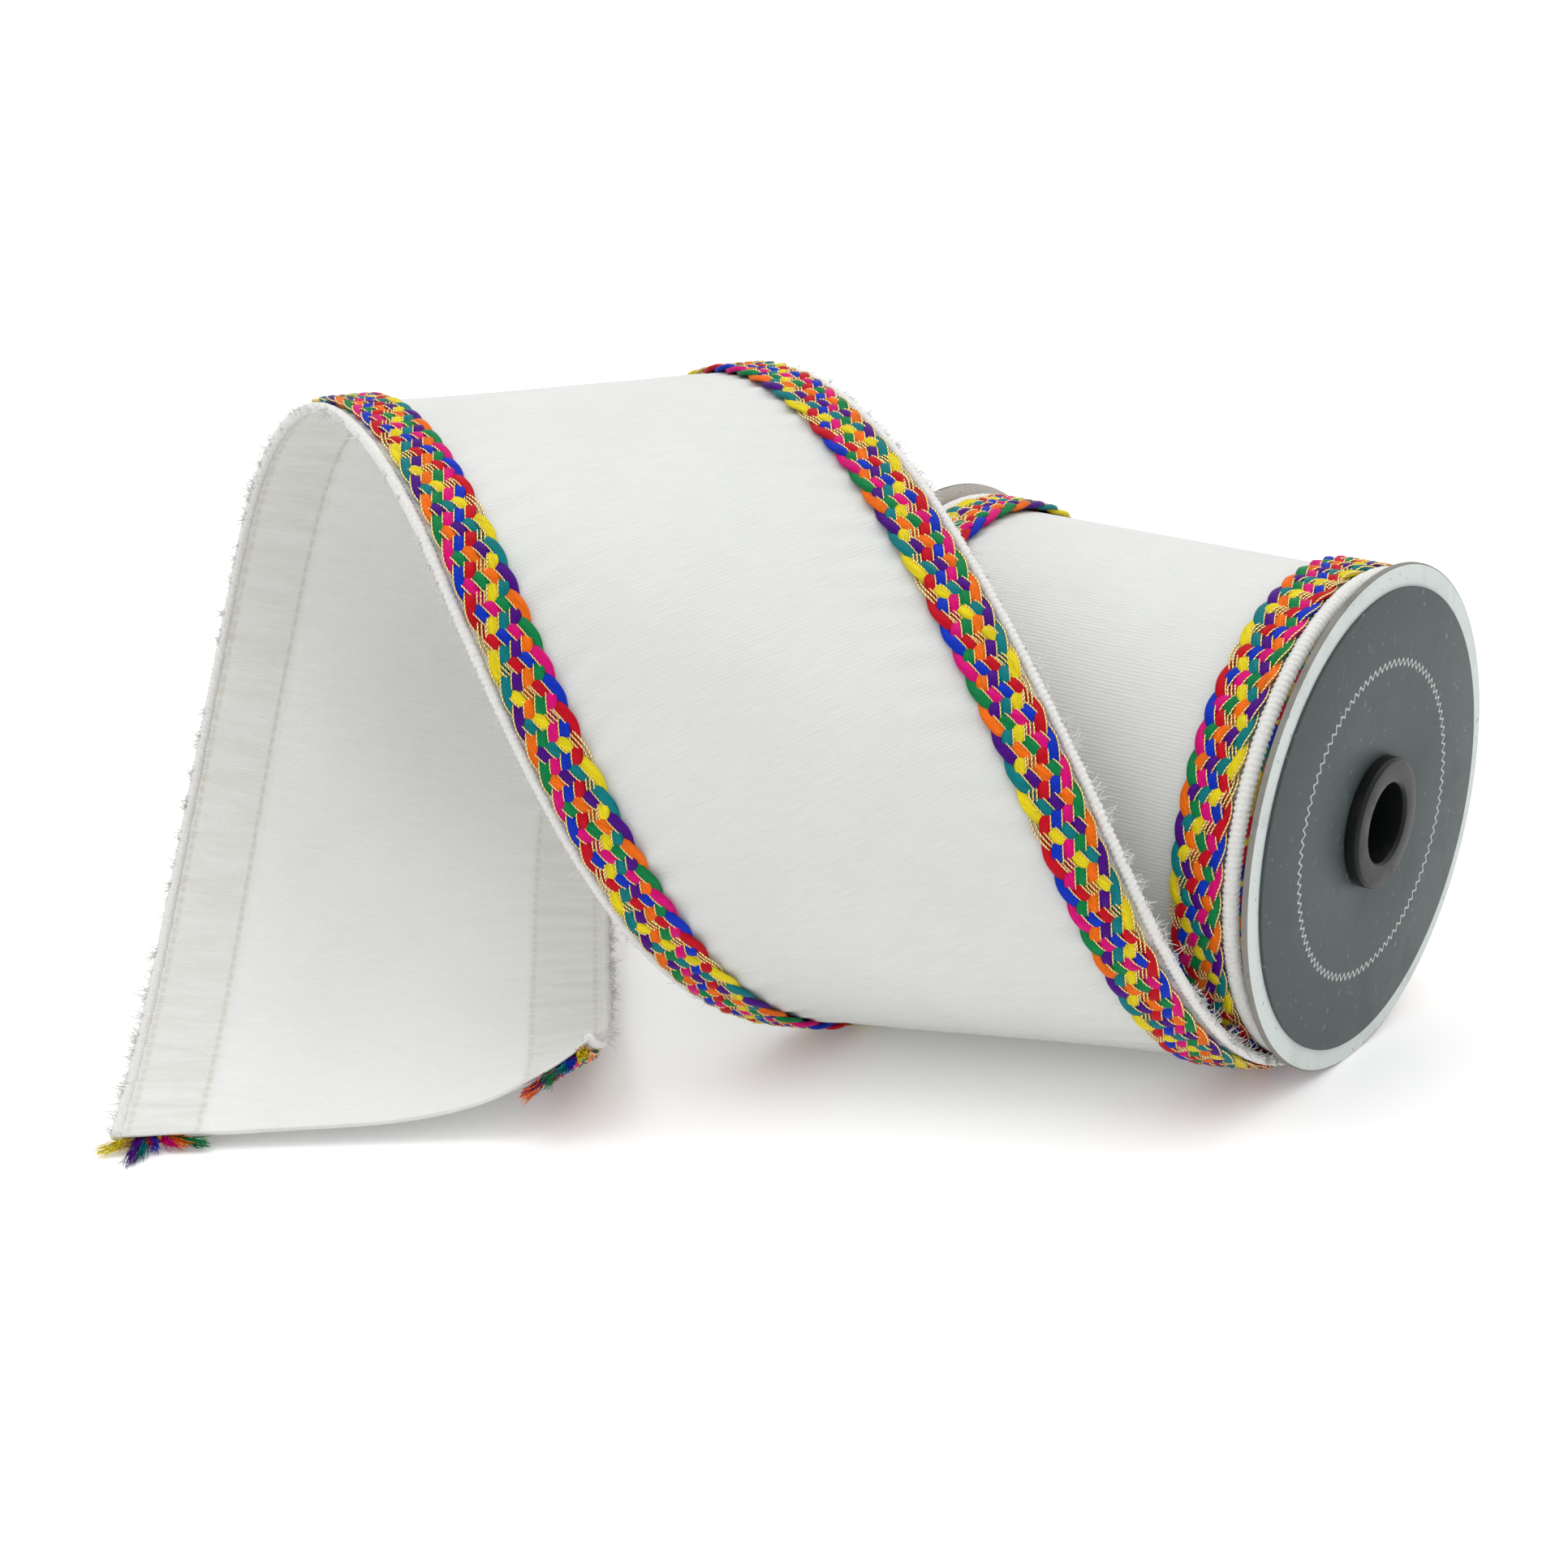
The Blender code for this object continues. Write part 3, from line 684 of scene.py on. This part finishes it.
def noise(tree, vector, scale, detail=3.0, roughness=0.55):
    """Cloudy noise from about 0.3 to 0.7."""
    inputs = {"Vector": vector, "Scale": scale, "Detail": detail, "Roughness": roughness}
    return add(tree, "ShaderNodeTexNoise", inputs).outputs["Fac"]


def new_group(name, inputs, outputs):
    """A shader node group with named sockets. inputs and outputs hold name, socket kind and start value."""
    tree = bpy.data.node_groups.new(name, "ShaderNodeTree")
    for side, sockets in (("INPUT", inputs), ("OUTPUT", outputs)):
        for socket_name, kind, value in sockets:
            socket = tree.interface.new_socket(name=socket_name, in_out=side, socket_type=kind)
            if value is not None:
                socket.default_value = value
    return tree, tree.nodes.new("NodeGroupInput").outputs, tree.nodes.new("NodeGroupOutput").inputs


def weave_group():
    """Ribbed weave on the flat place: threads across the ribbon, uneven along their length, and a warp."""
    tree, given, result = new_group(
        "ribbed_weave",
        [("Flat", "NodeSocketVector", None), ("Rib Pitch", "NodeSocketFloat", 0.0008)],
        [("Height", "NodeSocketFloat", None), ("Shade", "NodeSocketFloat", None)],
    )
    flat = given["Flat"]
    parts = add(tree, "ShaderNodeSeparateXYZ", {0: flat}).outputs
    wander = noise(tree, scaled(tree, flat, (60.0, 60.0, 1.0)), 1.0, 2.0)
    place = maths(tree, "DIVIDE", parts["Y"], given["Rib Pitch"])
    place = maths(tree, "MULTIPLY_ADD", wander, 1.2, place)
    rib = maths(tree, "SINE", maths(tree, "MULTIPLY", place, 2.0 * math.pi))
    slub = noise(tree, scaled(tree, flat, (130.0, 2600.0, 1.0)), 1.0, 4.0, 0.65)
    warp = noise(tree, scaled(tree, flat, (3200.0, 500.0, 1.0)), 1.0, 2.0)
    height = maths(tree, "MULTIPLY_ADD", rib, 0.22, slub)
    tree.links.new(maths(tree, "MULTIPLY_ADD", warp, 0.5, height), result["Height"])
    cloud = maths(tree, "MULTIPLY", noise(tree, scaled(tree, flat, (25.0, 18.0, 1.0)), 1.0, 3.0), 0.4)
    tree.links.new(maths(tree, "MULTIPLY_ADD", slub, 0.6, cloud), result["Shade"])
    return tree


def streak_group():
    """Fine filaments along a strand, from its flat place: long streaks, finer across than along, used as
    relief and as the share of painted shade between filaments.
    """
    tree, given, result = new_group(
        "filaments",
        [("Flat", "NodeSocketVector", None)],
        [("Height", "NodeSocketFloat", None), ("Shade", "NodeSocketFloat", None)],
    )
    inputs = {"Vector": given["Flat"], "Angle": math.radians(14.0)}
    twisted = add(tree, "ShaderNodeVectorRotate", inputs, rotation_type="Z_AXIS").outputs[0]
    fine = noise(tree, scaled(tree, twisted, (5200.0, 420.0, 1.0)), 1.0, 3.0, 0.6)
    broad = noise(tree, scaled(tree, twisted, (900.0, 160.0, 1.0)), 1.0, 2.0)
    broad = maths(tree, "MULTIPLY", broad, 0.4)
    tree.links.new(fine, result["Height"])
    tree.links.new(maths(tree, "MULTIPLY_ADD", fine, 0.6, broad), result["Shade"])
    return tree


def scuff_group():
    """Wear on card and plastic from the object's own place: rubbed patches, specks and paper grain."""
    tree, given, result = new_group(
        "scuffs",
        [("Place", "NodeSocketVector", None)],
        [(name, "NodeSocketFloat", None) for name in ("Rub", "Specks", "Grain")],
    )
    rub = noise(tree, given["Place"], 70.0, 6.0, 0.7)
    tree.links.new(between(tree, rub, 0.5, 0.72), result["Rub"])
    specks = noise(tree, given["Place"], 620.0, 2.0)
    tree.links.new(between(tree, specks, 0.66, 0.73), result["Specks"])
    tree.links.new(noise(tree, given["Place"], 1500.0, 3.0), result["Grain"])
    return tree


def new_material(name, colour, roughness, **sockets):
    """A Principled material. sockets are the shader's inputs that are the same all over."""
    material = bpy.data.materials.new(name)
    material.use_nodes = True
    material.diffuse_color = (*colour, 1.0)
    tree = material.node_tree
    shader = tree.nodes["Principled BSDF"]
    shader.inputs["Base Color"].default_value = (*colour, 1.0)
    shader.inputs["Roughness"].default_value = roughness
    for socket, value in sockets.items():
        shader.inputs[socket.replace("_", " ")].default_value = value
    return material, tree, shader


def placed(tree, group, socket, vector):
    """A node group put into a material, with its place socket joined."""
    node = tree.nodes.new("ShaderNodeGroup")
    node.node_tree = group
    tree.links.new(vector, node.inputs[socket])
    return node


def flat_place(tree):
    """The place on the flat strip or the unrolled surface, from the piece's own map."""
    return add(tree, "ShaderNodeUVMap", uv_map="flat").outputs[0]


def object_place(tree):
    """The place in the object's own frame."""
    return tree.nodes.new("ShaderNodeTexCoord").outputs["Object"]


def from_axis(tree):
    """The object's own place with the spool's axis at its centre."""
    centre = -ORIGIN * MILLIMETRE
    shift = (0.0, centre[1], -AXIS_HEIGHT * MILLIMETRE)
    return scaled(tree, object_place(tree), (1.0, 1.0, 1.0), shift)


def add_bump(tree, shader, height, strength, distance):
    """Relief from a height, at a depth in metres."""
    bump = add(tree, "ShaderNodeBump", {"Height": height, "Strength": strength, "Distance": distance})
    tree.links.new(bump.outputs[0], shader.inputs["Normal"])


def cloth_material():
    """White ribbed cloth of the outer face, with a slight satin sheen."""
    white = (0.68, 0.685, 0.672)
    material, tree, shader = new_material("white_ribbed_cloth", white, 0.62, Specular_IOR_Level=0.3)
    weave = placed(tree, WEAVE, "Flat", flat_place(tree))
    shade = between(tree, weave.outputs["Shade"], 0.3, 0.7)
    colour = mixed(tree, shade, (0.605, 0.615, 0.595), (0.70, 0.71, 0.69))
    tree.links.new(colour, shader.inputs["Base Color"])
    tree.links.new(between(tree, weave.outputs["Shade"], 0.3, 0.7, 0.7, 0.52), shader.inputs["Roughness"])
    add_bump(tree, shader, weave.outputs["Height"], 0.5, 0.00022)
    return material


def underside_material():
    """The cloth's underside: duller, with a creased beige strip between stitches under each braid, darkened
    by painted shade in its creases.
    """
    white = (0.68, 0.685, 0.66)
    material, tree, shader = new_material("cloth_underside", white, 0.85, Specular_IOR_Level=0.2)
    flat = flat_place(tree)
    weave = placed(tree, WEAVE, "Flat", flat)
    parts = add(tree, "ShaderNodeSeparateXYZ", {0: flat}).outputs
    across = maths(tree, "ABSOLUTE", parts["X"])
    shade = between(tree, weave.outputs["Shade"], 0.3, 0.7)
    cloth = mixed(tree, shade, (0.75, 0.755, 0.735), (0.83, 0.835, 0.82))
    # The sewn strip is a second layer that shows creased and a little beige, and its creases darken it with
    # painted shade
    strip = between(tree, across, 0.0312, 0.0336)
    creases = noise(tree, scaled(tree, flat, (40.0, 230.0, 1.0)), 1.0, 4.0, 0.6)
    # Painted shade: the strip is darker where the crease pattern is low
    dark = between(tree, creases, 0.35, 0.65, 0.8, 0.3)
    cloth = mixed(tree, maths(tree, "MULTIPLY", strip, dark), cloth, (0.68, 0.675, 0.635))
    lines = None
    for line in (0.0330, 0.0468):
        near = maths(tree, "ABSOLUTE", maths(tree, "SUBTRACT", across, line))
        mark = between(tree, near, 0.0002, 0.0008, 1.0, 0.0)
        lines = mark if lines is None else maths(tree, "MAXIMUM", lines, mark)
    dash = maths(tree, "SINE", maths(tree, "MULTIPLY", parts["Y"], 2.0 * math.pi / 0.0034))
    stitches = maths(tree, "MULTIPLY", lines, between(tree, dash, -0.7, 0.1, 0.4, 1.0))
    cloth = mixed(tree, maths(tree, "MULTIPLY", stitches, 0.45), cloth, (0.60, 0.54, 0.46))
    tree.links.new(cloth, shader.inputs["Base Color"])
    creased = maths(tree, "MULTIPLY", maths(tree, "MULTIPLY", creases, strip), 2.5)
    height = maths(tree, "SUBTRACT", maths(tree, "ADD", weave.outputs["Height"], creased), stitches)
    add_bump(tree, shader, height, 0.6, 0.0003)
    return material


def whipping_material():
    """Soft white overlocking thread."""
    white = (0.70, 0.69, 0.66)
    material, tree, shader = new_material("whipping_thread", white, 0.9, Specular_IOR_Level=0.15)
    place = object_place(tree)
    fluff = noise(tree, place, 1400.0, 4.0, 0.7)
    colour = mixed(tree, between(tree, fluff, 0.3, 0.7), (0.66, 0.655, 0.63), (0.80, 0.795, 0.78))
    tree.links.new(colour, shader.inputs["Base Color"])
    add_bump(tree, shader, fluff, 0.7, 0.0003)
    return material


def strand_material():
    """Dyed silky strand: its colour is the piece's own attribute, streaked along its filaments with painted
    shade in the grooves between them and painted light on them.
    """
    material, tree, shader = new_material("silky_strand", (0.5, 0.1, 0.2), 0.45, Specular_IOR_Level=0.12)
    dye = add(tree, "ShaderNodeAttribute", attribute_name="dye").outputs["Color"]
    streaks = placed(tree, STREAKS, "Flat", flat_place(tree))
    shade = between(tree, streaks.outputs["Shade"], 0.3, 0.7)
    # A shaded and a lit copy of the dye, mixed by the streaks: painted shade between the filaments, painted
    # light on them
    dark = mixed(tree, 1.0, dye, (0.48, 0.48, 0.48), "MULTIPLY")
    light = mixed(tree, 1.0, dye, (1.08, 1.08, 1.08), "MULTIPLY")
    gloss = between(tree, streaks.outputs["Shade"], 0.3, 0.7, 0.55, 0.36)
    tree.links.new(mixed(tree, shade, dark, light), shader.inputs["Base Color"])
    tree.links.new(gloss, shader.inputs["Roughness"])
    add_bump(tree, shader, streaks.outputs["Height"], 0.6, 0.00015)
    return material


def gold_material():
    """Gold metallic thread: a flat foil wound round a core, whose colour turns bright in short bars at each
    turn as painted glints.
    """
    material, tree, shader = new_material("gold_thread", (0.80, 0.55, 0.17), 0.3, Metallic=0.9)
    flat = flat_place(tree)
    parts = add(tree, "ShaderNodeSeparateXYZ", {0: flat}).outputs
    around = maths(tree, "MULTIPLY", parts["X"], 900.0)
    turn = maths(tree, "MULTIPLY_ADD", parts["Y"], 2.0 * math.pi / 0.0008, around)
    foil = maths(tree, "SINE", turn)
    # Painted glints: the colour goes from the thread's own gold to bright gold at each turn of the foil
    gold = mixed(tree, between(tree, foil, -0.6, 0.4), (0.58, 0.37, 0.09), (1.0, 0.83, 0.42))
    tree.links.new(gold, shader.inputs["Base Color"])
    tree.links.new(between(tree, foil, -1.0, 1.0, 0.45, 0.24), shader.inputs["Roughness"])
    add_bump(tree, shader, foil, 0.5, 0.00012)
    return material


def inner_braid_material():
    """What shows of the braids between the wound turns: short coloured dashes in shadow."""
    material, tree, shader = new_material("inner_braids", (0.2, 0.05, 0.08), 0.7)
    place = scaled(tree, flat_place(tree), (400.0, 330.0, 1.0))
    cells = add(tree, "ShaderNodeTexVoronoi", {"Vector": place, "Scale": 1.0})
    ramp = tree.nodes.new("ShaderNodeValToRGB")
    ramp.color_ramp.interpolation = "CONSTANT"
    stops = ramp.color_ramp.elements
    for number, (_, colour) in enumerate(STRAND_DYES):
        stop = stops[number] if number < 2 else stops.new(0.99)
        stop.position = number / STRAND_COUNT
        stop.color = (*colour, 1.0)
    value = add(tree, "ShaderNodeSeparateColor", {0: cells.outputs["Color"]}).outputs[0]
    tree.links.new(value, ramp.inputs[0])
    tree.links.new(ramp.outputs[0], shader.inputs["Base Color"])
    add_bump(tree, shader, cells.outputs["Distance"], 0.8, 0.0004)
    return material


def card_material(name, light, dark):
    """Card with paper grain, small specks and rubbed patches."""
    material, tree, shader = new_material(name, light, 0.8, Specular_IOR_Level=0.3)
    wear = placed(tree, SCUFFS, "Place", object_place(tree))
    colour = mixed(tree, maths(tree, "MULTIPLY", wear.outputs["Rub"], 0.5), light, dark)
    colour = mixed(tree, maths(tree, "MULTIPLY", wear.outputs["Specks"], 0.6), colour, (0.10, 0.09, 0.08))
    tree.links.new(colour, shader.inputs["Base Color"])
    tree.links.new(between(tree, wear.outputs["Grain"], 0.3, 0.7, 0.7, 0.9), shader.inputs["Roughness"])
    add_bump(tree, shader, wear.outputs["Grain"], 0.35, 0.0002)
    return material


def label_material():
    """Dark paper label with one thin wavy ring printed on it, and faint rubbed marks."""
    dark = (0.050, 0.066, 0.067)
    material, tree, shader = new_material("dark_label", dark, 0.55, Specular_IOR_Level=0.3)
    place = from_axis(tree)
    parts = add(tree, "ShaderNodeSeparateXYZ", {0: place}).outputs
    squares = [maths(tree, "POWER", parts[name], 2.0) for name in ("Y", "Z")]
    radius = maths(tree, "SQRT", maths(tree, "ADD", *squares))
    angle = maths(tree, "ARCTAN2", parts["Z"], parts["Y"])
    wave = maths(tree, "MULTIPLY", maths(tree, "SINE", maths(tree, "MULTIPLY", angle, 96.0)), 0.0006)
    line = maths(tree, "ADD", wave, 0.0335)
    off = maths(tree, "ABSOLUTE", maths(tree, "SUBTRACT", radius, line))
    print_mask = between(tree, off, 0.00022, 0.0004, 0.75, 0.0)
    wear = placed(tree, SCUFFS, "Place", object_place(tree))
    colour = mixed(tree, maths(tree, "MULTIPLY", wear.outputs["Rub"], 0.35), dark, (0.10, 0.12, 0.12))
    colour = mixed(tree, print_mask, colour, (0.55, 0.58, 0.57))
    colour = mixed(tree, maths(tree, "MULTIPLY", wear.outputs["Specks"], 0.25), colour, (0.35, 0.35, 0.34))
    tree.links.new(colour, shader.inputs["Base Color"])
    tree.links.new(between(tree, wear.outputs["Rub"], 0.0, 1.0, 0.5, 0.68), shader.inputs["Roughness"])
    add_bump(tree, shader, wear.outputs["Grain"], 0.2, 0.00012)
    return material


def plastic_material():
    """Black moulded plastic, a little dusty."""
    black = (0.007, 0.008, 0.008)
    material, tree, shader = new_material("black_plastic", black, 0.42, Specular_IOR_Level=0.2)
    wear = placed(tree, SCUFFS, "Place", object_place(tree))
    dust = maths(tree, "MULTIPLY", wear.outputs["Rub"], 0.03)
    tree.links.new(mixed(tree, dust, black, (0.25, 0.25, 0.24)), shader.inputs["Base Color"])
    tree.links.new(between(tree, wear.outputs["Rub"], 0.0, 1.0, 0.32, 0.55), shader.inputs["Roughness"])
    add_bump(tree, shader, wear.outputs["Grain"], 0.15, 0.0001)
    return material


def floor_material():
    """Plain white floor, faintly lit from below so that shadows on it stay pale."""
    material, tree, shader = new_material("pale_floor", (0.96, 0.96, 0.96), 0.6, Emission_Strength=0.13)
    shader.inputs["Emission Color"].default_value = (1.0, 1.0, 1.0, 1.0)
    tint = noise(tree, object_place(tree), 3.0, 2.0)
    colour = mixed(tree, tint, (0.955, 0.955, 0.955), (0.965, 0.965, 0.965))
    tree.links.new(colour, shader.inputs["Base Color"])
    return material


WEAVE = weave_group()
STREAKS = streak_group()
SCUFFS = scuff_group()
CLOTH = cloth_material()
UNDERSIDE = underside_material()
WHIPPING = whipping_material()
SILKY_STRAND = strand_material()
GOLD_THREAD = gold_material()
INNER_BRAIDS = inner_braid_material()
CARD = card_material("pale_card", (0.58, 0.63, 0.61), (0.40, 0.42, 0.40))
GREY_CARD = card_material("grey_card", (0.50, 0.48, 0.44), (0.38, 0.36, 0.33))
CARD_EDGE = card_material("card_edge", (0.22, 0.21, 0.19), (0.08, 0.075, 0.07))
CORE_CARD = card_material("brown_card", (0.22, 0.17, 0.12), (0.12, 0.09, 0.06))
LABEL = label_material()
PLASTIC = plastic_material()


# The camera and the light


def make_camera():
    """The camera at the photo's place and angle."""
    data = bpy.data.cameras.new("camera")
    data.sensor_width = SENSOR_WIDTH
    data.lens = LENS_LENGTH
    data.clip_start, data.clip_end = 0.01, 20.0
    camera = bpy.data.objects.new("camera", data)
    camera.location = (np.array(CAMERA_PLACE) + ORIGIN) * MILLIMETRE
    camera.rotation_euler = (math.radians(90.0 - CAMERA_TILT), 0.0, math.radians(CAMERA_TURN))
    bpy.context.scene.collection.objects.link(camera)
    bpy.context.scene.camera = camera


def area_light(name, place, aim, size, power):
    """A round lamp of a size and power at a place, turned towards aim; lengths in metres."""
    data = bpy.data.lights.new(name, "AREA")
    data.shape = "DISK"
    data.size = size
    data.energy = power
    light = bpy.data.objects.new(name, data)
    light.location = place
    back = np.array(place) - np.array(aim)
    light.rotation_euler = (
        math.atan2(math.hypot(back[0], back[1]), back[2]),
        0.0,
        math.atan2(back[0], -back[1]),
    )
    bpy.context.scene.collection.objects.link(light)


def sky_light(turn_x, turn_y):
    """A wide, weak sun from nearly straight above, turned by two angles in degrees."""
    data = bpy.data.lights.new("sky", "SUN")
    data.energy = 0.65
    data.angle = math.radians(80.0)
    light = bpy.data.objects.new("sky", data)
    light.rotation_euler = (math.radians(turn_x), math.radians(turn_y), 0.0)
    bpy.context.scene.collection.objects.link(light)


def make_studio():
    """White surroundings, soft lamps and a pale floor."""
    world = bpy.data.worlds.new("studio")
    world.use_nodes = True
    world.node_tree.nodes["Background"].inputs["Color"].default_value = (1.0, 1.0, 1.0, 1.0)
    world.node_tree.nodes["Background"].inputs["Strength"].default_value = 0.85
    bpy.context.scene.world = world
    bpy.context.scene.view_settings.view_transform = "Standard"
    area_light("key", (-0.3, -0.35, 1.15), (0.0, 0.0, 0.05), 0.7, 2.6)
    area_light("back", (0.4, 0.5, 1.0), (0.0, 0.0, 0.05), 0.9, 1.4)
    sky_light(-12.0, 8.0)
    mesh = bpy.data.meshes.new("floor")
    signs = ((-1, -1), (1, -1), (1, 1), (-1, 1))
    corners = [(FLOOR_REACH * x, FLOOR_REACH * y, FLOOR_Z) for x, y in signs]
    mesh.from_pydata(corners, [], [(0, 1, 2, 3)])
    mesh.materials.append(floor_material())
    floor = bpy.data.objects.new("floor", mesh)
    bpy.context.scene.collection.objects.link(floor)


# The object


def make_ribbon():
    """The cloth, the roll, and on each side the braids, the whipped edges and the frayed strands."""
    cloth = make_cloth()
    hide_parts("ribbon_cloth")
    round_roll = -2.0 * np.pi * ROLL_RADIUS
    with_cloth = []
    for side, word, sense, phase, roll_phase, roll_gap, hairs, tuft in BRAIDS:
        strip = (on_free_end, side, -TUCKED_LENGTH, FREE_LENGTH - CUT_INSET)
        braid = make_braid(f"braid_{word}", *strip, phase, sense)
        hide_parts(f"plait_free_{word}")
        edge = side * (HALF_WIDTH - EDGE_INSET)
        strip = (on_free_end, -TUCKED_LENGTH, FREE_LENGTH, edge)
        whipping = make_whipping(f"whipped_edge_{word}", *strip, FREE_EDGE_RADIUS)
        roots = edge_fuzz_roots(on_free_end, 0.0, FREE_LENGTH, edge, hairs, ROOTS_SEED + side)
        fuzz = make_fuzz(f"edge_fuzz_{word}", *roots, FUZZ_SEED + side)
        fray = make_tuft(f"frayed_strands_{word}", side, tuft, TUFT_SEED + side)
        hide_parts(f"frayed_end_{word}")
        strip = (on_roll, side, round_roll + math.radians(roll_gap) * ROLL_RADIUS, -ROLL_END_GAP)
        ring = make_braid(f"braid_on_roll_{word}", *strip, roll_phase, sense)
        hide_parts(f"plait_roll_{word}")
        strip = (on_roll, round_roll + ROLL_END_GAP, -ROLL_END_GAP, edge)
        ring_edge = make_whipping(f"roll_edge_{word}", *strip, ROLL_EDGE_RADIUS)
        with_cloth += [braid, whipping, fuzz, fray]
    roll = make_roll()
    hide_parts("ribbon_roll")


def ring_profile(first_x, last_x, hole, rim):
    """Corners of a ring's section between two faces, a hole's radius and a rim's."""
    return [(first_x, hole), (first_x, rim), (last_x, rim), (last_x, hole)]


def make_spool():
    """Two card flanges, a bare label, two plastic hub plugs and the core tube."""
    # The four faces round the rim are the card's cut edge
    kinds = [0] * 3 + [1] * 4 + [0] * 5
    for word, outer, inner, face in (
        ("near", 0.0, -CARD_THICKNESS, CARD),
        ("far", FAR_OUTER_X, FAR_OUTER_X + CARD_THICKNESS, GREY_CARD),
    ):
        profile = softened(ring_profile(outer, inner, FLANGE_HOLE_RADIUS, FLANGE_RADIUS), 0.35)
        flange = revolved(f"card_flange_{word}", profile, [face, CARD_EDGE], kinds, flat_spot=True)
        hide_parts(f"flange_{word}")
    back, front, hole = 0.05, PIECE_GAP + LABEL_THICKNESS, FLANGE_HOLE_RADIUS
    profile = [(back, hole), (front, hole), (front, LABEL_RADIUS), (back, LABEL_RADIUS)]
    label = revolved("label", softened(profile, 0.12), [LABEL])
    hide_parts("label_disc")
    corners = (
        (-HUB_DEPTH, HUB_BORE_RADIUS),
        (-HUB_DEPTH, HUB_NECK_RADIUS),
        (0.0, HUB_NECK_RADIUS),
        (0.0, HUB_RADIUS),
        (HUB_HEAD - HUB_CHAMFER, HUB_RADIUS),
        (HUB_HEAD, HUB_RADIUS - HUB_CHAMFER),
        (HUB_HEAD, HUB_BORE_RADIUS + HUB_CHAMFER),
        (HUB_HEAD - HUB_CHAMFER, HUB_BORE_RADIUS),
    )
    for word, seat, outwards in (
        ("near", 2.0 * PIECE_GAP + LABEL_THICKNESS, 1.0),
        ("far", FAR_OUTER_X - PIECE_GAP, -1.0),
    ):
        profile = softened([(seat + outwards * x, radius) for x, radius in corners], 0.22)
        hub = revolved(f"hub_plug_{word}", profile, [PLASTIC], steps=120)
        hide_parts(f"hub_{word}")
    ends = (FAR_INNER_X + PIECE_GAP, -FLANGE_THICKNESS - PIECE_GAP)
    profile = ring_profile(*ends, CORE_RADIUS - CORE_WALL, CORE_RADIUS)
    core = revolved("card_core", profile, [CORE_CARD], steps=96)
    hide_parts("core_tube")


make_camera()
make_studio()
make_ribbon()
make_spool()
